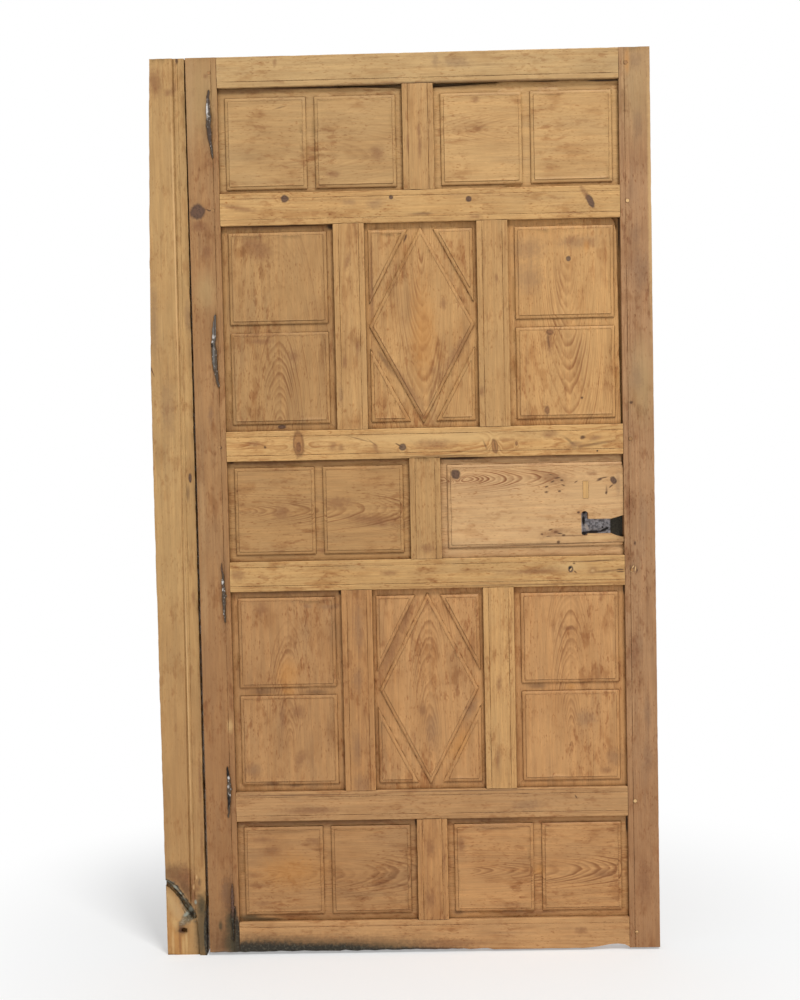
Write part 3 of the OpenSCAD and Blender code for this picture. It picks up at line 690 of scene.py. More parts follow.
@dataclass(frozen=True)
class PineFinish:
    """Old waxed pine: rings, fibres, painted corner shade with dirt, rubbed arrises with a painted highlight
    and the board's own marks.
    """

    board: Board
    centre: tuple[float, float, float]
    shift: float
    marked_to: float = -0.006
    # colours of the painted shade and dirt in corners and at the bottom of quirks
    corner_shade_and_dirt: Rgb = (94, 61, 37)
    quirk_shade_and_dirt: Rgb = (56, 35, 22)
    rubbed_lit_level: float = 1.12

    def material(self, groups: SharedGroups) -> bpy.types.Material:
        """Builds the material of the board.

        Args:
            groups: The shared effects.

        Returns:
            The new material.
        """
        board = self.board
        made, w, shader = new_material("pine_" + board.node)
        place = w.node("ShaderNodeTexCoord").outputs["Object"]
        grain = self._grain(w, place)
        layer = MarkLayer(w, groups, place, board.marks, self.marked_to)
        rings = w.use(
            groups.rings,
            {
                "Grain": grain,
                "Pith Across": board.pith_across,
                "Pith Depth": board.pith_depth,
                "Taper": board.taper,
                "Ring Width": board.ring,
                "Wobble": board.wobble,
                "Bend": layer.bend(),
            },
        )
        early, late = (linear(scaled(colour, board.bright)) for colour in board.tone.value)
        strong = w.step(rings.outputs["Ring Tone"], 0.0, 1.0, 0.2 * board.contrast, board.contrast)
        amount = layer.calm(w.math("MULTIPLY", rings.outputs["Late"], strong))
        colour = w.mix(amount, early, late)
        fibres = w.use(groups.fibres, {"Grain": grain})
        streak, fibre = fibres.outputs["Streak"], fibres.outputs["Fibre"]
        for level in (w.step(streak, 0.3, 0.72, 0.89, 1.075), w.step(fibre, 0.3, 0.7, 0.92, 1.06)):
            colour = w.mix(1.0, colour, w.join(level, level, level), "MULTIPLY")
        colour = self._clouded(w, groups, grain, colour)
        # rubbed wear and painted highlight: eased arrises lightened towards a paler early-wood colour
        edge = w.use(groups.rubbed_lit_edge, {"Place": place}).outputs["Mask"]
        rubbed = linear(scaled(board.tone.value[0], self.rubbed_lit_level))
        colour = layer.over(w.mix(w.math("MULTIPLY", edge, board.rub_and_highlight), colour, rubbed))
        # painted shade and dirt: corners and quirk bottoms darkened to brown where ambient occlusion finds
        # them
        shade_and_dirt = w.use(groups.corner_shade_and_dirt, {"Place": place})
        for label, share, tint in (("Mask", 0.5, self.corner_shade_and_dirt), ("Line", 0.8, self.quirk_shade_and_dirt)):
            colour = w.mix(w.math("MULTIPLY", shade_and_dirt.outputs[label], share * board.shade_and_dirt), colour, linear(tint))
        w.put(shader.inputs["Base Color"], colour)
        w.put(shader.inputs["Roughness"], w.step(streak, 0.3, 0.7, 0.5, 0.66))
        # the painted corner shade also takes the sheen out of the corners
        w.put(shader.inputs["Specular IOR Level"], w.step(shade_and_dirt.outputs["Mask"], 0.0, 0.8, 0.32, 0.0))
        relief = w.math("ADD", w.math("MULTIPLY", amount, 0.6), w.math("MULTIPLY", fibre, 0.5))
        w.put(shader.inputs["Normal"], w.bump(relief, 0.5, 0.0004))
        return made

    def _grain(self, w: Wiring, place: Socket) -> Socket:
        """Measures a place along, across and into the board from its middle.

        Args:
            w: The material's wiring.
            place: The place on the piece.

        Returns:
            The place along the grain.
        """
        x, y, z = w.split(w.vector("SUBTRACT", place, self.centre))
        return w.join(x, z, y) if self.board.grain is Grain.LEVEL else w.join(z, x, y)

    def _clouded(self, w: Wiring, groups: SharedGroups, grain: Socket, colour: Socket) -> Socket:
        """Lays soft darker and greyer patches over the wood.

        Args:
            w: The material's wiring.
            groups: The shared effects.
            grain: The place along the grain.
            colour: The wood's colour so far.

        Returns:
            The clouded colour.
        """
        layers = (
            ((8.0, 14.0, 0.42, 0.68), 0.55, (0.82, 0.76, 0.7), 0.0),
            ((16.0, 36.0, 0.5, 0.66), 0.85, (0.77, 0.67, 0.58), 8.0),
            ((30.0, 75.0, 0.53, 0.67), 0.85, (0.74, 0.62, 0.54), 8.0),
            ((75.0, 170.0, 0.59, 0.69), 0.7, (0.64, 0.52, 0.44), 8.0),
            ((5.0, 17.0, 0.5, 0.7), 0.6, (0.86, 0.88, 0.94), 0.0),
            ((6.0, 11.0, 0.5, 0.75), 0.6, (1.08, 1.1, 1.12), 0.0),
        )
        flecks = (
            ((80.0, 300.0, 0.57, 0.66), 0.8 * self.board.flecks, (0.66, 0.5, 0.38), 15.0),
            ((60.0, 240.0, 0.58, 0.68), 0.7 * self.board.flecks, (1.14, 1.14, 1.12), 12.0),
        )
        clouds = self.board.clouds
        layers = tuple((shape, strength * clouds, tint, patch) for shape, strength, tint, patch in layers)
        moved = w.vector("ADD", grain, (self.shift, 0.0, 0.0))
        patches = {}
        for size in (8.0, 12.0, 15.0):
            patches[size] = w.step(w.noise(moved, size, 1.0), 0.4, 0.62, 0.12, 1.0)
        for number, (shape, strength, tint, patch) in enumerate(layers + flecks):
            values = dict(zip(("Along", "Across", "Low", "High"), shape))
            values["Shift"] = self.shift + number
            mask = w.use(groups.clouds, {"Grain": grain, **values}).outputs["Mask"]
            mask = w.math("MULTIPLY", mask, min(1.0, strength))
            if patch:
                mask = w.math("MULTIPLY", mask, patches[patch])
            colour = w.mix(mask, colour, w.mix(1.0, colour, tint, "MULTIPLY"))
        return colour


@dataclass(frozen=True)
class IronFinish:
    """Forged iron: dark scale with places rubbed bright."""

    dark: Rgb
    bright: Rgb
    low: float
    high: float
    scale: float
    rough: float
    metal: float = 0.6
    marks: tuple[Mark, ...] = ()
    marked_to: float = 0.01

    def material(self, name: str, groups: SharedGroups) -> bpy.types.Material:
        """Builds the material.

        Args:
            name: The material's name.
            groups: The shared effects.

        Returns:
            The new material.
        """
        made, w, shader = new_material(name)
        place = w.node("ShaderNodeTexCoord").outputs["Object"]
        rough = w.noise(place, self.scale, 5.0, 0.6)
        rubbed = w.step(rough, self.low, self.high)
        grit = w.noise(place, self.scale * 9, 3.0, 0.6)
        dark = w.mix(w.step(grit, 0.35, 0.7), linear(self.dark), linear(scaled(self.dark, 1.5)))
        colour = w.mix(rubbed, dark, linear(self.bright))
        layer = MarkLayer(w, groups, place, self.marks, self.marked_to)
        w.put(shader.inputs["Base Color"], layer.over(colour))
        shader.inputs["Specular IOR Level"].default_value = 0.2
        w.put(shader.inputs["Metallic"], w.math("MULTIPLY", rubbed, self.metal))
        w.put(shader.inputs["Roughness"], w.step(grit, 0.3, 0.7, self.rough - 0.12, self.rough + 0.1))
        relief = w.math("ADD", rough, w.math("MULTIPLY", grit, 0.4))
        w.put(shader.inputs["Normal"], w.bump(relief, 0.8, 0.0006))
        return made


@dataclass
class WornCopy:
    """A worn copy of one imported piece: eased arrises, waves in its faces and small chips."""

    node: str
    body: str
    slot: str
    grain: Grain = Grain.UPRIGHT
    along_step: float = 0.014
    across_step: float = 0.013
    arris: float = 0.0005
    wave: float = 0.0006
    chip: float = 0.0009
    seed: float = 0.0
    extra_cuts: dict[int, list[float]] = field(default_factory=dict)
    joined: float = 3e-6
    flat_angle: float = 0.6
    shortest_edge: float = 0.004
    eased_angle: float = 25.0
    smooth_angle: float = 34.0

    def build(self, material: bpy.types.Material) -> None:
        """Makes the piece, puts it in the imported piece's place and sets its body.

        Args:
            material: The finish of the piece.
        """
        bm = bmesh.new()
        bm.from_mesh(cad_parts[self.node].data)
        bmesh.ops.remove_doubles(bm, verts=bm.verts[:], dist=self.joined)
        flat = math.radians(self.flat_angle)
        bmesh.ops.dissolve_limit(bm, angle_limit=flat, verts=bm.verts[:], edges=bm.edges[:])
        mark = bm.faces.layers.float.new("arris")
        sharp = [
            edge
            for edge in bm.edges
            if len(edge.link_faces) == 2
            and edge.is_convex
            and edge.calc_length() > self.shortest_edge
            and edge.calc_face_angle() > math.radians(self.eased_angle)
        ]
        eased = bmesh.ops.bevel(
            bm, geom=sharp, offset=self.arris, segments=2, profile=0.6, affect="EDGES", clamp_overlap=False
        )
        for face in eased["faces"]:
            face[mark] = 1.0
        self._cut(bm)
        bm.normal_update()
        self._wear(bm, mark)
        mesh = bpy.data.meshes.new(self.node + "_worn")
        bm.to_mesh(mesh)
        bm.free()
        mesh.polygons.foreach_set("use_smooth", [True] * len(mesh.polygons))
        mesh.set_sharp_from_angle(angle=math.radians(self.smooth_angle))
        mesh.materials.append(material)
        piece = bpy.data.objects.new(self.node + "_worn", mesh)
        bpy.context.scene.collection.objects.link(piece)
        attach(piece, self.body)
        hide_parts(self.node)
        LOG.info("%s: %d faces", piece.name, len(mesh.polygons))

    def _cut(self, bm: bmesh.types.BMesh) -> None:
        """Cuts the faces into cells small enough to wear.

        Args:
            bm: The mesh.
        """
        low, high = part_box(self.node)
        along = self.grain.value
        for axis, step in ((along, self.along_step), (2 - along, self.across_step)):
            length = high[axis] - low[axis]
            count = max(1, round(length / step))
            places = [low[axis] + length * k / count for k in range(1, count)]
            for place in sorted(places + self.extra_cuts.get(axis, [])):
                normal = Vector((0.0, 0.0, 0.0))
                normal[axis] = 1.0
                whole = bm.verts[:] + bm.edges[:] + bm.faces[:]
                bmesh.ops.bisect_plane(bm, geom=whole, dist=1e-5, plane_co=normal * place, plane_no=normal)

    def _wear(self, bm: bmesh.types.BMesh, mark: bmesh.types.BMLayerItem) -> None:
        """Moves the front and back a little into the wood, and the arrises more.

        The faces where boards butt stay where they are, so no light shows between them.

        Args:
            bm: The mesh.
            mark: The layer that marks eased edges.
        """
        coarse, turned, fine, slow = 0.35, 0.3, 55.0, 19.0
        shift = Vector((self.seed * 1.7, self.seed * 0.9, self.seed * 2.3))
        stretch = Vector((60.0, 60.0, 60.0))
        stretch[self.grain.value] = 9.0
        moves = []
        for vertex in bm.verts:
            place = vertex.co
            sized = Vector((place.x * stretch.x, place.y * stretch.y, place.z * stretch.z)) * coarse
            facing = max(0.0, abs(vertex.normal.y) - turned) / (1.0 - turned)
            depth = self.wave * facing * (0.5 + 0.5 * noise.noise(sized + shift))
            if any(face[mark] > 0.5 for face in vertex.link_faces):
                rough = noise.noise(place * fine + shift) + 0.6 * noise.noise(place * slow - shift)
                depth += self.chip * max(0.0, rough)
            moves.append(self._more_wear(place, vertex.normal, vertex.normal * -depth))
        for vertex, move in zip(bm.verts, moves):
            vertex.co += move

    def _more_wear(self, place: Vector, normal: Vector, move: Vector) -> Vector:
        """Returns the move as it is; a piece with damage of its own adds to it."""
        return move


def narrowed(place: Vector) -> Vector:
    """Returns the move that makes the jamb, and what goes through it, narrower towards the top.

    Args:
        place: A place on the jamb or on one of its cotters.

    Returns:
        The move, which is nothing at the leaf's side and at the lower half.
    """
    low, high, most, outer_band, curve = 1.15, 2.105, 0.019, 0.02, 1.6
    upper = max(0.0, place.z - low) / (high - low)
    outer = max(0.0, min(1.0, -place.x / outer_band))
    return Vector((most * upper**curve * outer, 0.0, 0.0))


@dataclass
class JambPlank(WornCopy):
    """The jamb: its outer edge is ragged and its foot is torn along the fibres."""

    torn_height: float = 0.184
    face_y: float = -0.035
    worn_in: float = 0.0018
    bitten: float = 0.004
    fibre: float = 0.0012
    slab: float = 0.0022
    ragged: float = 0.0022

    def _more_wear(self, place: Vector, normal: Vector, move: Vector) -> Vector:
        """Adds torn fibres at the foot, bites along the outer edge and a narrower top.

        Args:
            place: Where the vertex is.
            normal: Its normal.
            move: The plain wear.

        Returns:
            The whole move.
        """
        move = move + narrowed(place)
        if normal.x < -0.3 and place.y < 0.02:
            slow = noise.noise(Vector((place.z * 7.0, 3.1, self.seed)))
            bite = noise.noise(Vector((place.z * 24.0, place.y * 20.0, 9.0)))
            inward = self.worn_in * (0.5 + 0.5 * slow) + self.bitten * max(0.0, bite - 0.1)
            move = move + Vector((inward, 0.0, 0.0))
        sunk = place.y > self.face_y + 0.004
        if place.z < self.torn_height and sunk and normal.y < -0.3:
            fibre = noise.noise(Vector((place.x * 190.0, place.z * 22.0, 1.0)))
            slab = noise.noise(Vector((place.x * 45.0, place.z * 12.0, 5.0)))
            move = move + Vector((0.0, self.fibre * fibre + self.slab * slab, 0.0))
        on_tear = self.face_y - 0.001 < place.y < self.face_y + 0.007 and -0.046 < place.x < 0.0135
        if on_tear and place.z < self.torn_height + 0.004 and abs(normal.x) + abs(normal.z) > 0.35:
            sideways = noise.noise(Vector((place.x * 130.0, place.z * 130.0, 4.0)))
            upward = noise.noise(Vector((place.x * 130.0, place.z * 130.0, 8.0)))
            move = move + Vector((self.ragged * sideways, 0.0, self.ragged * upward))
        return move


@dataclass
class RottenFoot(WornCopy):
    """A piece of the leaf whose lower edge is rotten where it stood in the wet."""

    foot_z: float = 0.005
    rot_height: float = 0.014
    rot_end: float = 0.72
    lift: float = 0.005

    def _more_wear(self, place: Vector, normal: Vector, move: Vector) -> Vector:
        """Lifts the lower edge raggedly.

        Args:
            place: Where the vertex is.
            normal: Its normal.
            move: The plain wear.

        Returns:
            The whole move.
        """
        height = place.z - self.foot_z
        if height < self.rot_height and place.x < self.rot_end:
            rough = 0.5 + 0.5 * noise.noise(Vector((place.x * 65.0, place.y * 40.0, 2.0)))
            share = 1.0 - max(0.0, height) / self.rot_height
            move = move + Vector((0.0, 0.0, self.lift * rough * share))
        return move


@dataclass
class HammeredLegs(WornCopy):
    """A cotter whose legs were hammered flat on the face of the stile, so their outline is uneven."""

    face_y: float = -0.0345
    swayed: float = 0.002
    uneven: float = 0.0014

    def _more_wear(self, place: Vector, normal: Vector, move: Vector) -> Vector:
        """Sways the flat legs sideways, and keeps the jamb's cotters in the narrower jamb.

        Args:
            place: Where the vertex is.
            normal: Its normal.
            move: The plain wear.

        Returns:
            The whole move.
        """
        if place.y < self.face_y:
            sway = noise.noise(Vector((place.z * 48.0, self.seed, 3.0)))
            rough = noise.noise(Vector((place.z * 150.0, place.x * 90.0, self.seed)))
            move = move + Vector((self.swayed * sway + self.uneven * rough, 0.0, 0.0))
        return move + narrowed(place)


def mark(kind: MarkKind, x: float, z: float, rx: float, rz: float, turn: float = 0.0) -> Mark:
    """Returns a mark; the place is in metres, the radii in millimetres, the turn in degrees."""
    return Mark(kind, x, z, rx / 1000, rz / 1000, turn)


LEVEL, UPRIGHT = Grain.LEVEL, Grain.UPRIGHT
KNOT, GREY, BROWN, HEART = MarkKind.KNOT, MarkKind.GREY_KNOT, MarkKind.BROWN_KNOT, MarkKind.HEART
SCAR, STAIN, BLUE, RUST = MarkKind.SCAR, MarkKind.STAIN, MarkKind.BLUE_STAIN, MarkKind.IRON_STAIN
MOULD, OLIVE, CRACK, SPLIT = MarkKind.MOULD, MarkKind.OLIVE, MarkKind.CRACK, MarkKind.SPLIT
GAP_SHADOW, SHADE = MarkKind.GAP_SHADOW, MarkKind.SHADE
PALE, WORN, AMBER, PEG = MarkKind.PALE, MarkKind.WORN, MarkKind.AMBER, MarkKind.PEG
RUBBED_HIGHLIGHT, FLECK, PLAIN = MarkKind.RUBBED_HIGHLIGHT, MarkKind.FLECK, MarkKind.PLAIN
WARM, SALLOW = MarkKind.WARM, MarkKind.SALLOW
IRON_BLACK_AND_SHADOW, IRON_BROWN, IRON_GREY = MarkKind.BLACK_IRON_AND_SHADOW, MarkKind.BROWN_IRON, MarkKind.GREY_IRON
IRON_RUST, IRON_GLINT = MarkKind.RUST_IRON, MarkKind.PAINTED_IRON_GLINT


class BoardWork:
    """Dresses boards one after another, numbering them as it goes."""

    SHIFT = 3.7

    def __init__(self, groups: SharedGroups) -> None:
        """Keeps the shared effects and starts the count."""
        self.groups = groups
        self.count = 0

    def dress(self, board: Board, copy: WornCopy) -> None:
        """Builds one worn board, with a finish whose grain starts at the board's middle.

        Args:
            board: How its wood looks.
            copy: How its shape is worn.
        """
        self.count += 1
        copy.seed = float(self.count)
        low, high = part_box(board.node)
        middle = (low + high) / 2
        finish = PineFinish(board, (middle.x, low.y, middle.z), self.count * self.SHIFT)
        copy.build(finish.material(self.groups))


@dataclass
class Jamb:
    """The hinge-side jamb with its moulded strip, torn foot and mouldy corner."""

    torn_top: float = 0.19
    cell: float = 0.004
    first_row: float = 0.37
    first_column: float = -0.047
    column: float = 0.0035
    columns: int = 24

    def build(self, work: BoardWork) -> None:
        """Builds the jamb.

        Args:
            work: The board work.
        """
        board = Board(
            "jamb", UPRIGHT, Tone.JAMB, 0.075, 0.05, 0.012, 0.007, 0.02, clouds=0.75, contrast=0.35,
            shade_and_dirt=0.35, rub_and_highlight=0.9, flecks=0.6,
            # the long pale lines on the strip's arris are painted highlight with rubbed wear
            marks=(
                mark(SHADE, 0.0508, 1.05, 0.9, 2600), mark(WARM, 0.0, 0.4, 90, 330),
                mark(STAIN, -0.02, 2.05, 14, 26), mark(BLUE, -0.035, 1.5, 7, 70),
                mark(BLUE, -0.01, 1.3, 14, 60), mark(STAIN, 0.04, 0.42, 3, 60),
                mark(STAIN, 0.04, 0.27, 3, 40), mark(RUBBED_HIGHLIGHT, 0.0175, 1.55, 1.9, 420),
                mark(RUBBED_HIGHLIGHT, 0.0168, 0.75, 1.9, 460), mark(STAIN, 0.0249, 2.0384, 6, 14),
                mark(STAIN, 0.0107, 2.0275, 8, 7), mark(SCAR, 0.0332, 2.0998, 3, 8),
                mark(BROWN, 0.0372, 1.1377, 3.5, 11), mark(SHADE, 0.031, 1.1029, 4, 17),
                mark(STAIN, 0.037, 0.8573, 4, 15), mark(BLUE, 0.0431, 1.509, 7, 30),
                mark(SCAR, -0.045, 1.391, 1.5, 12, 20), mark(SHADE, -0.03, 0.2, 30, 20),
                mark(STAIN, -0.01, 0.185, 30, 26, 20), mark(STAIN, 0.012, 0.16, 16, 44, 15),
                mark(SHADE, 0.0, 0.16, 10, 26, 30), mark(STAIN, 0.0173, 0.1463, 4, 12),
                mark(SHADE, 0.0323, 0.1772, 3, 10), mark(AMBER, -0.03, 0.05, 26, 60),
                mark(PALE, -0.034, 0.12, 9, 40, 25), mark(WORN, -0.018, 0.108, 11, 26, 25),
                mark(PALE, -0.0042, 0.0333, 3, 30), mark(PALE, -0.036, 0.03, 3, 28),
                mark(STAIN, -0.02, 0.03, 2.5, 34), mark(OLIVE, 0.034, 0.055, 15, 76),
                mark(MOULD, 0.045, 0.05, 6, 60), mark(OLIVE, 0.036, 0.122, 11, 22),
                mark(CRACK, -0.0436, 0.1774, 16, 8, -30), mark(CRACK, -0.0283, 0.1645, 18, 8, -45),
                mark(CRACK, -0.0124, 0.1414, 22, 9, -58), mark(CRACK, 0.0023, 0.1127, 26, 12, -64),
                mark(CRACK, 0.002, 0.09, 17, 12, 40), mark(CRACK, -0.011, 0.0795, 13, 8, 48),
                mark(WORN, -0.022, 0.1, 13, 30, 25), mark(PALE, -0.012, 0.02, 3, 20),
                mark(PALE, -0.03, 0.075, 6, 16, 20), mark(SPLIT, -0.0345, 0.1785, 19, 1.5, -33),
                mark(SPLIT, -0.0115, 0.1555, 20, 1.6, -52), mark(SPLIT, 0.0065, 0.1255, 18, 2, -62),
                mark(SPLIT, -0.021, 0.1475, 16, 1.2, -48), mark(SPLIT, 0.009, 0.1, 5, 9, -10),
                mark(SPLIT, -0.005, 0.1, 14, 1.2, -62), mark(FLECK, -0.0437, 0.1792, 4.5, 3),
                mark(FLECK, -0.0273, 0.1667, 5, 3.5, -30), mark(FLECK, -0.0158, 0.152, 4.5, 3),
                mark(FLECK, -0.0067, 0.1348, 5.5, 4, -50), mark(FLECK, 0.0075, 0.1079, 5, 6),
                mark(FLECK, -0.0028, 0.0985, 6, 4, 40), mark(FLECK, 0.0217, 0.1293, 3, 5),
                mark(RUBBED_HIGHLIGHT, 0.0254, 0.1894, 2, 5), mark(RUBBED_HIGHLIGHT, 0.0178, 0.1655, 2, 6),
                mark(SHADE, -0.014, 0.062, 13, 13), mark(SCAR, -0.0146, 0.0592, 8, 7),
            ),
        )
        cuts = {
            2: [self.cell * (k + self.first_row) for k in range(int(self.torn_top / self.cell))],
            0: [self.first_column + self.column * k for k in range(self.columns)],
        }
        copy = JambPlank("jamb", "jamb", "jamb_pine", UPRIGHT, wave=0.0009, chip=0.0016, extra_cuts=cuts)
        work.dress(board, copy)


